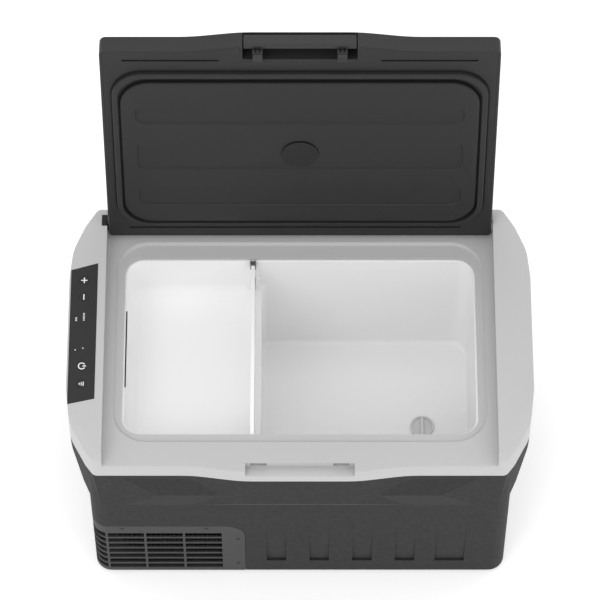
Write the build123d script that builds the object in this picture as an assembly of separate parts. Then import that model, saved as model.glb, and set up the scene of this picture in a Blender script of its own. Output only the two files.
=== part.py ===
from build123d import *

import math
import os

# Compressor cooler fridge for a camper or caravan: a dark two-compartment cabinet, a light top frame with
# side handles and a control panel, and a hinged lid that is modelled shut and then swung open to its stop.
# Frame: millimetres, X to the right, Y to the back, Z up, origin on the floor under the middle of the body.

# ---------------------------------------------------------------- driving dimensions
# cabinet
BODY_HALF_W = 266.5         # half width of the cabinet walls
BODY_FRONT = -177.0         # front wall at the corners
BODY_BACK = 178.0           # back wall
BODY_CORNER_R = 21.0        # upright corners of the cabinet
SHELL_WALL = 4.0            # moulded wall of the outer shell
SHELL_EDGE_R = 3.2          # rounding of the shell's lower edge
FLOOR_T = 4.0               # thickness of the base pan
FOOT_H = 6.0                # height of the feet, so also the underside of the shell
FOOT_R = 15.0
FOOT_SET_IN_X = 42.0        # feet, from the side walls
FOOT_SET_IN_Y = 38.0        # feet, from the front and back walls
SHELL_TOP = 285.0           # where the dark shell ends and the light frame begins
FRAME_H = 26.0              # from there to the deck that the lid comes down on
FRAME_WALL = 4.0
DECK_T = 3.5                # frame thickness under the gasket's track

# side handles
EAR_REACH = 25.5            # handles stand out this far beyond the side walls
EAR_SET_IN = 20.5           # their inner faces, inside the side walls
FLARE_H = 95.0              # height of the walls' sweep under the handles
GRIP_HALF_L = 62.0          # half length of the finger pocket under a handle
GRIP_DEPTH = 10.0           # how far the pocket reaches into the side wall
GRIP_LIP = 8.0              # thickness of the handle's outer lip
GRIP_ROOF = 24.0            # handle left over the fingers
BEVEL_FRONT = 3.2           # the bevel of a handle's front end crosses its inner face this far from the front
BEVEL_DEG = 55.1            # the bevel's direction in plan, from the X axis
BEVEL_FALL = 0.78           # how steeply it falls away

# front bulge, shared by the shell, the frame and the lid
BULGE_DEPTH = 8.0           # how far the middle of the front stands forward
BULGE_FLAT = 73.0           # half width of its flat middle
BULGE_FOOT = 134.0          # half width where it meets the plain front
BULGE_BLEND_R = 220.0       # blend radius of its ramps
CREASE_DROP = 83.0          # lower edge of the bulge, below the shell's top
CREASE_RISE = 19.0          # height over which the bulge is drawn back
BEAD_DEPTH = 4.5            # long beads that carry the crease on towards the corners
BEAD_RISE = 36.0            # from the crease to a bead's ridge
BEAD_FADE = 38.0            # from the ridge up to the plain wall
BEAD_FULL = 172.0           # half width over which the beads keep their depth
BEAD_END = 222.0            # half width where they run out
FLUTE_DROP = 40.0           # top of the flutes, below the crease
FLUTE_LOW = 31.0            # bottom of the flutes, above the shell's underside
FLUTE_DEPTH = 3.2
FLUTES = ((-30.5, 25.0), (25.0, 25.0), (80.5, 25.0), (136.0, 25.0), (194.0, 38.0))

# liner and opening
RIM_SET_IN = 32.5           # gasket's track, inside the side walls
RIM_FRONT_IN = 34.0
RIM_BACK_IN = 34.0
RIM_R = 42.0
RIM_DEPTH = 5.0             # the track is sunk this far into the deck
OPEN_SET_IN = 11.0          # opening, inside the gasket's track
OPEN_FRONT_IN = 13.0
OPEN_BACK_IN = 22.3
OPEN_R = 24.0
LINER_WALL = 2.5
LINER_INSET = 2.0           # the liner's walls stand this far inside the opening
BAY_TOP = 205.0             # roof of the machine bay
SHALLOW_LIFT = 26.0         # floor of the left compartment, above the bay
DEEP_FLOOR = 87.0           # floor of the right compartment
STEP_X = -50.0              # wall between the two floors
STEP_R = 7.0                # its upright corners
BAY_SET_BACK = 19.0         # insulation between that wall and the machine bay
FLOOR_FILLET = 14.0

# lid, in its closed position
LID_SIDE_GAP = 1.9          # between the lid and the handles
LID_T = 24.0
LID_SEAT_GAP = 1.0          # between the deck and the lid's underside
LID_BACK_IN = 13.5          # rear edge, inside the back wall
LID_WALL = 3.0
LID_CORNER_R = 8.0
LID_HEEL = 1.6              # chamfer of the rear lower edge, which passes over the deck
HINGE_BACK = 5.5            # from the hinge axis to the lid's rear edge
HINGE_UP = 10.5             # from the lid's underside to the hinge axis
LID_OPEN_DEG = 101.2        # how far the lid stands open on its stop
PAN_SET_IN = 12.0           # raised middle of the inner panel, inside the gasket's track
PAN_FRONT_IN = 20.0
PAN_R = 38.0
PAN_H = 4.5
FIELD_SET_IN = 19.0         # pressed fields, inside the edge of the raised middle
FIELD_DEPTH = 1.5
FIELD_PLACES = ((38.5, 73.5), (102.5, 157.5), (186.5, 223.5))
GASKET_W = 7.0
GASKET_GROOVE = 2.0         # depth of the gasket's groove in the inner panel
CAP_R = 22.8                # disc over the foam filling hole
PIN_R = 4.0                 # hinge pins

# latch
LATCH_HALF_W = 68.4         # half length of the latch bar
LATCH_SIDE_GAP = 1.6        # between the bar and the ends of its recess
LATCH_RECESS_IN = 15.5      # depth of the recess, behind the plain front
LATCH_LOW_GAP = 1.0         # the bar's lower edge, above the lid's underside
LATCH_BAR_H = 18.5
LATCH_BAR_T = 6.0
LATCH_HOOK_X = 51.5         # the two hooks
LATCH_HOOK_W = 12.0
LATCH_PIN_R = 1.5
POCKET_HALF_W = 68.0        # finger pocket in the frame under the latch bar
POCKET_IN = 4.8
POCKET_DEPTH = 12.0
KEEPER_HALF_W = 10.0        # slots that the hooks catch in
KEEPER_DROP = 9.0           # their floor, below the deck
KEEPER_H = 7.5
HOOK_SWING = 2.3            # room under the hooks, which dip as the bar is pulled
KEEPER_IN = 18.5

# divider
DIVIDER_SET_BACK = 10.0     # from the step to the divider
DIVIDER_T = 4.5
DIVIDER_DROP = 10.0         # its top, below the deck
GUIDE_W = 6.0
GUIDE_T = 4.0
GUIDE_H = 32.0

# control panel on the left handle
PANEL_OUT_IN = 2.6          # outer edge, inside the handle's outer face
PANEL_SIDE_GAP = 10.4       # inner edge, from the handle's inner face
PANEL_BACK_OUT = 88.0
PANEL_BACK_IN = 98.0
PANEL_FRONT_OUT = -102.8
PANEL_FRONT_IN = -95.0
PANEL_T = 2.2
KEY_R = 6.0
KEY_STEM_R = 1.5
KEY_STEM_L = 1.6
KEY_TRAVEL = 0.4
SWITCH_H = 1.0
BOARD_T = 1.6
BOARD_HALF_W = 10.5
KEY_NAMES = ("plus", "minus", "power", "mode")
KEY_Y = (73.5, 49.4, -49.3, -74.5)

# vent grille in the front left corner
GRILLE_TOP = 139.0
GRILLE_RIGHT = -71.0
GRILLE_SIDE_IN = 85.0       # how far it runs back along the side, from the front
GRILLE_CORNER_R = 26.0
GRILLE_T = 2.2
GRILLE_LIP = 1.5            # width of the shell's ledge that the panel lies on
SLOT_H = 11.4
SLOT_PITCH = 15.2
SLOT_TOP = 119.0
SLOT_ROWS = 8
SLOT_BAR = 3.0
SLOT_BARS_X = (-248.4, -199.1, -149.2)
SLOT_END_X = -100.5
GRILLE_SCREWS = ((-228.0, 133.0), (-120.0, 133.0), (-79.6, 103.0), (-80.0, 30.0))

# machine bay under the shallow compartment, placed from the left wall
TRAY_T = 2.0
COMP_IN = 116.5
COMP_Y = 62.0
COMP_R = 50.0
COMP_H = 128.0
FAN_IN = 106.5
FAN_FRONT_IN = 60.0
FAN_Z = 78.0
FAN_HALF = 55.0
FAN_DEPTH = 25.0
FAN_BORE = 51.0
FAN_HUB_R = 19.0
FAN_AXLE_R = 2.0
FAN_BLADES = 7
COND_DEPTH = 24.0
COND_HALF_W = 70.0
COND_HALF_H = 55.0
COND_FINS = 24
COND_ROWS = 5
TUBE_R = 3.0
CAPILLARY_R = 1.5
DRIER_Y = 40.0
DRIER_R = 9.0
DRIER_L = 70.0
EVAP_LIFT = 15.0            # cold band, above the deep floor
EVAP_H = 96.0
COIL_LOOPS = 4
COIL_PITCH = 24.0
CASE_W = 50.0               # motor electronics
CASE_LOW = 30.0
CASE_H = 66.0
CASE_FRONT = -80.0
CASE_BACK = -8.0
VENT_IN = 40.5              # rear air outlet, from the left wall
VENT_W = 108.0
VENT_LOW = 36.0
VENT_H = 90.0

# power inlet in the back wall
SOCKET_IN = 22.0            # from the bay's right end
SOCKET_HALF_W = 17.0
SOCKET_HALF_H = 13.0
SOCKET_WALL = 4.0
SOCKET_DEPTH = 16.0
SOCKET_Z = 47.0
SOCKET_PIN_R = 1.6
SOCKET_PINS = (-8.0, 8.0)

# drain
DRAIN_IN = 63.0             # from the opening's right side
DRAIN_Y = -8.0
DRAIN_BORE_R = 8.0          # bore that the bung's shaft sits in
SPOUT_BORE_R = 9.0          # wider outlet below it, for a hose
SPOUT_WALL = 3.0
SPOUT_BORE_L = 17.0
SPOUT_LOW = 3.0
PLUG_R = 15.5
PLUG_SHAFT_L = 20.0
SEAL_GAP = 1.2              # room for the seal between the shaft and the bore

# fits
FIT = 0.05                  # radial clearance of a running fit
PRESS = 0.02                # radial clearance of a pressed-in fit
GAP = 0.3                   # clearance of parts that only sit beside each other
PANEL_GAP = 0.5             # visible joint around a let-in panel
FAR = 600.0                 # beyond every face of the cooler

# ---------------------------------------------------------------- worked-out places
SEAT_Z = SHELL_TOP + FRAME_H
LID_UNDER = SEAT_Z + LID_SEAT_GAP
LID_TOP = LID_UNDER + LID_T
EAR_TOP = LID_TOP
EAR_HALF_W = BODY_HALF_W + EAR_REACH
EAR_INNER = BODY_HALF_W - EAR_SET_IN
FLARE_BOTTOM = SHELL_TOP - FLARE_H
GRIP_LOW = FLARE_BOTTOM + 10.0
CREASE_Z = SHELL_TOP - CREASE_DROP
BASE_Z = FOOT_H + FLOOR_T
FEET_X = BODY_HALF_W - FOOT_SET_IN_X
FEET_FRONT = BODY_FRONT + FOOT_SET_IN_Y
FEET_BACK = BODY_BACK - FOOT_SET_IN_Y
RIM_HALF_W = BODY_HALF_W - RIM_SET_IN
RIM_FRONT = BODY_FRONT + RIM_FRONT_IN
RIM_BACK = BODY_BACK - RIM_BACK_IN
RIM_Z = SEAT_Z - RIM_DEPTH
DECK_UNDER = RIM_Z - DECK_T
OPEN_HALF_W = RIM_HALF_W - OPEN_SET_IN
OPEN_FRONT = RIM_FRONT + OPEN_FRONT_IN
OPEN_BACK = RIM_BACK - OPEN_BACK_IN
LINER_X0 = -OPEN_HALF_W + LINER_INSET
LINER_X1 = OPEN_HALF_W - LINER_INSET
LINER_Y0 = OPEN_FRONT + LINER_INSET
LINER_Y1 = OPEN_BACK - LINER_INSET
LINER_TOP = DECK_UNDER - GAP
LINER_R = OPEN_R - LINER_INSET
SHALLOW_FLOOR = BAY_TOP + SHALLOW_LIFT
BAY_RIGHT = STEP_X - BAY_SET_BACK
LID_HALF_W = EAR_INNER - LID_SIDE_GAP
LID_FRONT = BODY_FRONT - 0.5
LID_BACK = BODY_BACK - LID_BACK_IN
HINGE_Y = LID_BACK - HINGE_BACK
HINGE_Z = LID_UNDER + HINGE_UP
PAN_HALF_W = RIM_HALF_W - PAN_SET_IN
PAN_FRONT = RIM_FRONT + PAN_FRONT_IN
PAN_BACK = RIM_BACK - PAN_SET_IN
CAP_Y = (PAN_FRONT + PAN_BACK) / 2 + 0.5
LATCH_RECESS_HALF_W = LATCH_HALF_W + LATCH_SIDE_GAP
LATCH_RECESS_BACK = BODY_FRONT + LATCH_RECESS_IN
LATCH_PIVOT_Y = LID_FRONT - BULGE_DEPTH + 6.5
LATCH_PIVOT_Z = LID_TOP - 7.5
POCKET_BACK = BODY_FRONT + POCKET_IN
POCKET_FLOOR = SEAT_Z - POCKET_DEPTH
KEEPER_LOW = SEAT_Z - KEEPER_DROP
KEEPER_HIGH = KEEPER_LOW + KEEPER_H
KEEPER_BACK = BODY_FRONT + KEEPER_IN
DIVIDER_X = STEP_X - DIVIDER_SET_BACK
DIVIDER_TOP = SEAT_Z - DIVIDER_DROP
PANEL_OUT = EAR_HALF_W - PANEL_OUT_IN
PANEL_IN = EAR_INNER + PANEL_SIDE_GAP
PANEL_Z = EAR_TOP - 0.2
KEY_X = -(PANEL_OUT + PANEL_IN) / 2
SWITCH_TOP = PANEL_Z - PANEL_T - KEY_STEM_L - KEY_TRAVEL
BOARD_TOP = SWITCH_TOP - SWITCH_H
GRILLE_SIDE_BACK = BODY_FRONT + GRILLE_SIDE_IN
SPOUT_OUT_R = SPOUT_BORE_R + SPOUT_WALL
DRAIN_X = OPEN_HALF_W - DRAIN_IN
SOCKET_X = BAY_RIGHT - SOCKET_IN
VENT_X0 = -BODY_HALF_W + VENT_IN
COMP_X = -BODY_HALF_W + COMP_IN
FAN_X = -BODY_HALF_W + FAN_IN
FAN_Y = BODY_FRONT + FAN_FRONT_IN
TRAY_Z = BASE_Z + GAP
TRAY_TOP = TRAY_Z + TRAY_T
COMP_FEET = ((-52.0, -42.0), (52.0, -42.0), (0.0, 60.0))
COMP_BASE = TRAY_TOP + 10.0
COMP_CAN_LOW = COMP_BASE + 2.0
COMP_CAN_TOP = COMP_CAN_LOW + COMP_H
COND_Y0 = FAN_Y - FAN_DEPTH / 2 - 3.0 - COND_DEPTH
COND_MID = COND_Y0 + COND_DEPTH / 2
COND_END = COND_HALF_W + 7.0
COND_ROW_GAP = (2 * COND_HALF_H - 22.0) / (COND_ROWS - 1)
DRIER_X = FAN_X - COND_END
EVAP_LOW = DEEP_FLOOR + EVAP_LIFT
COIL_GROW = LINER_WALL + 1.6 + TUBE_R
COIL_LEAD = 2 * (LINER_R + COIL_GROW)
COIL_LOW = EVAP_LOW + 8.0
COIL_TOP = COIL_LOW + (COIL_LOOPS - 1) * COIL_PITCH


# ---------------------------------------------------------------- helpers
def slab(x0, x1, y0, y1, z0, z1, radius=0.0):
    """A block between two corners, with its upright edges rounded."""
    width = x1 - x0
    depth = y1 - y0
    face = RectangleRounded(width, depth, radius) if radius else Rectangle(width, depth)
    return Pos((x0 + x1) / 2, (y0 + y1) / 2, z0) * extrude(face, z1 - z0)


def prism_x(points, x0, x1):
    """A prism along X from (y, z) points."""
    face = Plane.YZ.offset(x0) * make_face(Polyline(*points, close=True))
    return extrude(face, x1 - x0)


def prism_y(points, y0, y1):
    """A prism along Y from (x, z) points."""
    return Pos(0, y1, 0) * Rot(90, 0, 0) * extrude(make_face(Polyline(*points, close=True)), y1 - y0)


def prism_z(points, z0, z1):
    """A prism along Z from (x, y) points."""
    return Pos(0, 0, z0) * extrude(make_face(Polyline(*points, close=True)), z1 - z0)


def rod_x(x0, x1, y, z, radius):
    return Pos(x0, y, z) * Rot(0, 90, 0) * extrude(Circle(radius), x1 - x0)


def rod_y(x, y0, y1, z, radius):
    return Pos(x, y1, z) * Rot(90, 0, 0) * extrude(Circle(radius), y1 - y0)


def rod_z(x, y, z0, z1, radius):
    return Pos(x, y, z0) * extrude(Circle(radius), z1 - z0)


def tube_run(points, bend_r, outer_r, inner_r=0.0):
    """A tube of straight runs joined by tangent arcs."""
    path = FilletPolyline(*points, radius=bend_r)
    section = Circle(outer_r) - Circle(inner_r) if inner_r else Circle(outer_r)
    return sweep(Plane(origin=path @ 0, z_dir=path % 0) * section, path=path)


def rounded_top(solid, radius):
    """Round the edges of the highest face."""
    return fillet(solid.edges().group_by(Axis.Z)[-1], radius)


def rounded_bottom(solid, radius):
    """Round the edges of the lowest face."""
    return fillet(solid.edges().group_by(Axis.Z)[0], radius)


def front_plan(half_w, y_back, y_front, bulge, corner_r, inset=0.0):
    """Plan outline with the bulged front; inset shrinks it evenly."""
    half = half_w - inset
    back = y_back - inset
    front = y_front + inset
    middle = front - bulge
    radius = max(corner_r - inset, 1.0)
    points = [
        (half, back),
        (-half, back),
        (-half, front),
        (-BULGE_FOOT, front),
        (-BULGE_FLAT, middle),
        (BULGE_FLAT, middle),
        (BULGE_FOOT, front),
        (half, front),
    ]
    radii = [radius, radius, radius] + [BULGE_BLEND_R] * 4 + [radius]
    return make_face(FilletPolyline(*points, radius=radii, close=True))


def plan_block(face, z0, z1):
    return Pos(0, 0, z0) * extrude(face, z1 - z0)


def side_block(side, x0, x1, y0, y1, z0, z1, radius=0.0):
    """A block between two distances from the middle plane, on the right (1) or the left (-1)."""
    return slab(min(side * x0, side * x1), max(side * x0, side * x1), y0, y1, z0, z1, radius)


def lid_open(solid):
    """Swing a piece of the closed lid open about the hinge axis."""
    return Pos(0, HINGE_Y, HINGE_Z) * Rot(-LID_OPEN_DEG, 0, 0) * Pos(0, -HINGE_Y, -HINGE_Z) * solid


# ---------------------------------------------------------------- handles and cabinet
def ear_points(inset, inner):
    """Corners of the right handle's plan, from its back end round to the front."""
    wall = BODY_HALF_W - inset
    back = BODY_BACK - inset
    front = BODY_FRONT + inset
    points = [(inner, back), (wall - 8.5, back)]
    for share, y in ((0.294, back - 26.0), (0.843, back - 60.0), (1.0, back - 98.0), (1.0, front + 97.0),
                     (0.804, front + 51.0), (0.039, front + 14.0)):
        points.append((wall + EAR_REACH * share, y))
    return points + [(wall - 9.5, front), (inner, front)]


def ear_plan(side, inset=0.0):
    """Rounded plan outline of one handle; side is 1 for the right and -1 for the left."""
    radii = [0, 9.0, 24.0, 60.0, 90.0, 90.0, 40.0, 14.0, 9.0, 0]
    outline = [(side * x, y) for x, y in ear_points(inset, EAR_INNER)]
    return make_face(FilletPolyline(*outline, radius=radii, close=True))


def beyond_plane(first, second, third):
    """Large block on the outer side of the plane through three points on the right of the cabinet."""
    along = Vector(*second) - Vector(*first)
    normal = along.cross(Vector(*third) - Vector(*first))
    if normal.X < 0:
        normal = -normal
    return Plane(origin=first, x_dir=along, z_dir=normal) * Pos(0, 0, FAR / 2) * Box(2 * FAR, 2 * FAR, FAR)


def flare(side, inset=0.0):
    """The shell's slope from the cabinet wall out to the underside of a handle."""
    slope = plan_block(ear_plan(1, inset), FLARE_BOTTOM, SHELL_TOP + inset)
    corners = ear_points(inset, EAR_INNER)
    foot = BODY_HALF_W - inset - 0.6
    corner = foot - BODY_CORNER_R * 0.4
    back = BODY_BACK - inset - BODY_CORNER_R * 0.4
    front = BODY_FRONT + inset + BODY_CORNER_R * 0.4
    cuts = (
        (1, 2, (corner, back)),
        (2, 3, (foot, corners[2][1])),
        (4, 5, (foot, corners[4][1])),
        (6, 7, (foot, corners[7][1])),
        (7, 8, (corner, front)),
    )
    for first, second, low in cuts:
        slope -= beyond_plane((*corners[first], SHELL_TOP), (*corners[second], SHELL_TOP), (*low, FLARE_BOTTOM))
    return slope if side > 0 else mirror(slope, about=Plane.YZ)


def grip_walls(side, grow=0.0):
    """Block that is left solid round the finger pocket of a handle."""
    inner = BODY_HALF_W - GRIP_DEPTH - SHELL_WALL - grow
    half = GRIP_HALF_L + SHELL_WALL + grow
    return side_block(side, inner, EAR_HALF_W + 5.0, -half, half, GRIP_LOW - SHELL_WALL - grow, EAR_TOP)


def grip_pocket(side):
    """Room for four fingers, in from the side and up into the handle."""
    block = side_block(side, BODY_HALF_W - GRIP_DEPTH, EAR_HALF_W - GRIP_LIP, -GRIP_HALF_L, GRIP_HALF_L, GRIP_LOW,
                       EAR_TOP - GRIP_ROOF, 8.0)
    return rounded_top(block, 5.0)


def ear_bevel(side):
    """What the slanting bevel takes off the front end of a handle."""
    section = make_face(Polyline((0, 0), (FAR, -FAR * BEVEL_FALL), (FAR, FAR), (0, FAR), close=True))
    wedge = Rot(0, 0, BEVEL_DEG) * Pos(0, FAR / 2, 0) * Rot(90, 0, 0) * extrude(section, FAR)
    wedge = Pos(EAR_INNER, BODY_FRONT + BEVEL_FRONT, EAR_TOP) * Rot(0, 0, -90) * wedge
    return wedge if side > 0 else mirror(wedge, about=Plane.YZ)


def flute(x, width):
    """One flute that deepens towards its lower edge."""
    front = BODY_FRONT
    top = CREASE_Z - FLUTE_DROP
    low = FOOT_H + FLUTE_LOW
    points = [(front - 1.0, top), (front, top), (front + FLUTE_DEPTH * 0.15, (top + low) / 2),
              (front + FLUTE_DEPTH * 0.4, low + (top - low) / 4), (front + FLUTE_DEPTH, low), (front - 1.0, low)]
    return prism_x(points, x - width / 2, x + width / 2)


def crease_bead():
    """Long flat bead across the front that carries the crease on to both sides and runs out."""
    section = [(BODY_FRONT + 1.0, CREASE_Z), (BODY_FRONT, CREASE_Z), (BODY_FRONT - BEAD_DEPTH, CREASE_Z + BEAD_RISE),
               (BODY_FRONT, CREASE_Z + BEAD_RISE + BEAD_FADE), (BODY_FRONT + 1.0, CREASE_Z + BEAD_RISE + BEAD_FADE)]
    ridge = prism_x(section, -BEAD_END, BEAD_END)
    depth = BODY_FRONT - BEAD_DEPTH - 0.5
    plan = FilletPolyline((-BEAD_END, BODY_FRONT), (-BEAD_FULL, depth), (BEAD_FULL, depth), (BEAD_END, BODY_FRONT),
                          (BEAD_FULL, BODY_FRONT + 2.0), (-BEAD_FULL, BODY_FRONT + 2.0),
                          radius=[0, 60.0, 60.0, 0, 0, 0], close=True)
    return ridge & plan_block(make_face(plan), 0.0, SHELL_TOP)


def grille_area(grow, y_side, z_low):
    """Block that holds the corner panel's outline, grown by a margin."""
    right = GRILLE_RIGHT + grow
    top = GRILLE_TOP + grow
    radius = GRILLE_CORNER_R + grow
    far = -BODY_HALF_W - 20.0
    wire = FilletPolyline((far, z_low), (far, top), (right, top), (right, z_low), radius=[0, 0, radius, 0],
                          close=True)
    block = extrude(make_face(wire), y_side - (BODY_FRONT - 20.0))
    return Pos(0, y_side, 0) * Rot(90, 0, 0) * block


def body_ring(outer_inset, inner_inset, z0, z1):
    """A band that follows the cabinet wall between two depths below its surface."""
    outer = front_plan(BODY_HALF_W, BODY_BACK, BODY_FRONT, 0.001, BODY_CORNER_R, outer_inset)
    inner = front_plan(BODY_HALF_W, BODY_BACK, BODY_FRONT, 0.001, BODY_CORNER_R, inner_inset)
    return plan_block(outer - inner, z0, z1)


def cavity(z0, z1, inset=SHELL_WALL):
    width = BODY_HALF_W - inset
    radius = BODY_CORNER_R - inset
    return slab(-width, width, BODY_FRONT + inset, BODY_BACK - inset, z0, z1, radius)


def rear_vent_window(grow, y0, y1):
    """Block through the back wall where the air outlet sits."""
    return slab(VENT_X0 - grow, VENT_X0 + VENT_W + grow, y0, y1, VENT_LOW - grow, VENT_LOW + VENT_H + grow)


def socket_window(grow, y0, y1):
    """Block through the back wall where the power inlet sits."""
    return slab(SOCKET_X - SOCKET_HALF_W - grow, SOCKET_X + SOCKET_HALF_W + grow, y0, y1,
                SOCKET_Z - SOCKET_HALF_H - grow, SOCKET_Z + SOCKET_HALF_H + grow)


def foot_places():
    """Places of the four feet."""
    return [(x, y) for x in (-FEET_X, FEET_X) for y in (FEET_FRONT, FEET_BACK)]


def outer_shell():
    """Cabinet shell: bulged front, flutes, handle roots, openings for grille, vent and socket; open below."""
    body = slab(-BODY_HALF_W, BODY_HALF_W, BODY_FRONT, BODY_BACK, FOOT_H, SHELL_TOP, BODY_CORNER_R)
    body = rounded_bottom(body, SHELL_EDGE_R)
    front_outline = front_plan(BODY_HALF_W, BODY_BACK, BODY_FRONT, BULGE_DEPTH, BODY_CORNER_R)
    band = plan_block(front_outline, CREASE_Z, SHELL_TOP)
    band -= slab(-FAR, FAR, BODY_FRONT + 20.0, FAR, 0.0, FAR)
    drawn_back = [(BODY_FRONT, CREASE_Z - 1.0), (BODY_FRONT, CREASE_Z),
                  (BODY_FRONT - 2 * BULGE_DEPTH, CREASE_Z + 2 * CREASE_RISE),
                  (BODY_FRONT - 2 * BULGE_DEPTH, CREASE_Z - 1.0)]
    band -= prism_x(drawn_back, -FAR, FAR)
    shell = body + band + crease_bead()
    for side in (-1, 1):
        shell += flare(side)
    shell -= cavity(0.0, SHELL_TOP + 1.0)
    shell -= plan_block(front_plan(BULGE_FOOT + 20.0, 0.0, BODY_FRONT, BULGE_DEPTH, 2.0, SHELL_WALL),
                        CREASE_Z + CREASE_RISE + SHELL_WALL, SHELL_TOP + 1.0)
    for side in (-1, 1):
        shell -= flare(side, SHELL_WALL) - grip_walls(side)
        wall = grip_walls(side) & slab(-BODY_HALF_W, BODY_HALF_W, -FAR, FAR, 0.0, SHELL_TOP)
        shell += wall
        shell -= grip_pocket(side)
    for x, width in FLUTES:
        shell -= flute(x, width)
    ledge = grille_area(GRILLE_LIP, GRILLE_SIDE_BACK + GRILLE_LIP, FOOT_H)
    shell += ledge & body_ring(SHELL_WALL - 0.2, SHELL_WALL + 1.5, BASE_Z + GAP, SHELL_TOP)
    shell -= grille_area(PANEL_GAP, GRILLE_SIDE_BACK + PANEL_GAP, 0.0) & body_ring(
        -1.0, GRILLE_T + 0.1, 0.0, GRILLE_TOP + 1.0)
    shell -= grille_area(-14.0, GRILLE_SIDE_BACK - 14.0, BASE_Z + 6.0) & body_ring(
        0.0, SHELL_WALL + 4.0, BASE_Z + 6.0, GRILLE_TOP)
    for x, z in GRILLE_SCREWS:
        shell -= rod_y(x, BODY_FRONT - 1.0, BODY_FRONT + 9.0, z, 1.5)
    shell -= rear_vent_window(0.0, BODY_BACK - 10.0, BODY_BACK + 1.0)
    shell -= socket_window(0.0, BODY_BACK - 10.0, BODY_BACK + 1.0)
    return shell


def base_pan():
    """Floor of the cabinet, let in between the shell's walls, with holes for the feet and the drain."""
    pan = cavity(FOOT_H + 0.5, BASE_Z, SHELL_WALL + GAP)
    pan -= rod_z(DRAIN_X, DRAIN_Y, 0.0, BASE_Z + 1.0, SPOUT_OUT_R + FIT)
    for x, y in foot_places():
        pan -= rod_z(x, y, 0.0, BASE_Z + 1.0, 2.0)
    return pan


def frame_ear(side):
    """One side handle of the frame, bevelled at its front end and rounded along its top."""
    ear = plan_block(ear_plan(side), SHELL_TOP, EAR_TOP)
    slope = [(BODY_FRONT - 9.0, SEAT_Z - 4.0), (BODY_FRONT + 5.5, EAR_TOP + 0.1), (BODY_FRONT - 9.0, EAR_TOP + 0.1)]
    ear -= prism_x(slope, -FAR, FAR)
    top_edges = ear.edges().group_by(Axis.Z)[-1]
    outer_edges = top_edges.filter_by(lambda e: abs(e.center().X) > EAR_INNER + 1.0)
    return fillet(outer_edges, 1.8) - ear_bevel(side)


def top_frame():
    """Light one-piece frame: deck, sunk gasket track, both handles, latch pocket and keeper slots."""
    front_outline = front_plan(BODY_HALF_W, BODY_BACK, BODY_FRONT, BULGE_DEPTH, BODY_CORNER_R)
    frame = plan_block(front_outline, SHELL_TOP, SEAT_Z)
    frame = fillet(frame.edges().group_by(Axis.Z)[-1], 1.2)
    for side in (-1, 1):
        frame += frame_ear(side)
    hollow = plan_block(front_plan(BODY_HALF_W, BODY_BACK, BODY_FRONT, BULGE_DEPTH, BODY_CORNER_R, FRAME_WALL),
                        SHELL_TOP - 1.0, POCKET_FLOOR - 3.0)
    hollow -= slab(-OPEN_HALF_W - 8.0, OPEN_HALF_W + 8.0, OPEN_FRONT - 8.0, OPEN_BACK + 8.0, 0.0, FAR, OPEN_R)
    for side in (-1, 1):
        hollow -= grip_walls(side)
    frame -= hollow
    frame -= slab(-OPEN_HALF_W - 12.0, OPEN_HALF_W + 12.0, OPEN_FRONT - 12.0, OPEN_BACK + 12.0,
                  SHELL_TOP - 1.0, DECK_UNDER, OPEN_R)
    frame -= slab(-OPEN_HALF_W, OPEN_HALF_W, OPEN_FRONT, OPEN_BACK, SHELL_TOP - 1.0, SEAT_Z + 1.0, OPEN_R)
    track = slab(-RIM_HALF_W, RIM_HALF_W, RIM_FRONT, RIM_BACK, RIM_Z, SEAT_Z + 0.1, RIM_R)
    frame -= chamfer(track.edges().group_by(Axis.Z)[0], 3.0)
    for side in (-1, 1):
        hollow = plan_block(ear_plan(side, FRAME_WALL), SHELL_TOP - 1.0, EAR_TOP - 26.0) - grip_walls(side)
        frame -= hollow - slab(-BODY_HALF_W, BODY_HALF_W, -FAR, FAR, 0.0, FAR)
        frame -= grip_pocket(side)
    frame -= slab(-POCKET_HALF_W, POCKET_HALF_W, BODY_FRONT - 20.0, POCKET_BACK, POCKET_FLOOR, SEAT_Z + 1.0)
    for x in (-LATCH_HOOK_X, LATCH_HOOK_X):
        frame -= slab(x - KEEPER_HALF_W, x + KEEPER_HALF_W, POCKET_BACK - 1.0, KEEPER_BACK, KEEPER_LOW, KEEPER_HIGH)
    frame -= panel_block(PANEL_GAP, PANEL_Z - PANEL_T - GAP, EAR_TOP + 1.0)
    frame -= slab(KEY_X - BOARD_HALF_W - 1.0, KEY_X + BOARD_HALF_W + 1.0, KEY_Y[-1] - 15.5, KEY_Y[0] + 10.5,
                  BOARD_TOP - BOARD_T - GAP, EAR_TOP - 1.0)
    frame -= bearing_block(GAP / 2, FAR)
    frame -= rod_x(EAR_INNER - 1.0, EAR_INNER + 8.0, HINGE_Y, HINGE_Z, PIN_R + FIT)
    return frame


def bearing_block(grow, z_top):
    """Outline of the hinge bearing at the inner face of the left handle, grown by a margin."""
    inner = -EAR_INNER + 2 * grow
    return slab(-EAR_INNER - 6.8 - grow, inner, HINGE_Y - PIN_R - 1.5 - grow, HINGE_Y + 10.2 + grow,
                HINGE_Z - PIN_R - 2.5 - grow, z_top)


def hinge_bearing():
    """Dark bearing block let into the left handle from above; the sliding pin turns in it."""
    block = bearing_block(0.0, EAR_TOP + 0.4)
    block = fillet(block.edges().group_by(Axis.Z)[-1], 0.6)
    return block - rod_x(-EAR_INNER - 6.0, -EAR_INNER + 1.0, HINGE_Y, HINGE_Z, PIN_R + FIT)


def deep_outline(grow):
    """Plan of the deep compartment, grown evenly."""
    step = STEP_X - grow
    x1 = LINER_X1 + grow
    y0 = LINER_Y0 - grow
    y1 = LINER_Y1 + grow
    tight = STEP_R + grow
    wide = LINER_R + grow
    return make_face(FilletPolyline((step, y0), (x1, y0), (x1, y1), (step, y1), radius=[tight, wide, wide, tight],
                                    close=True))


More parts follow.
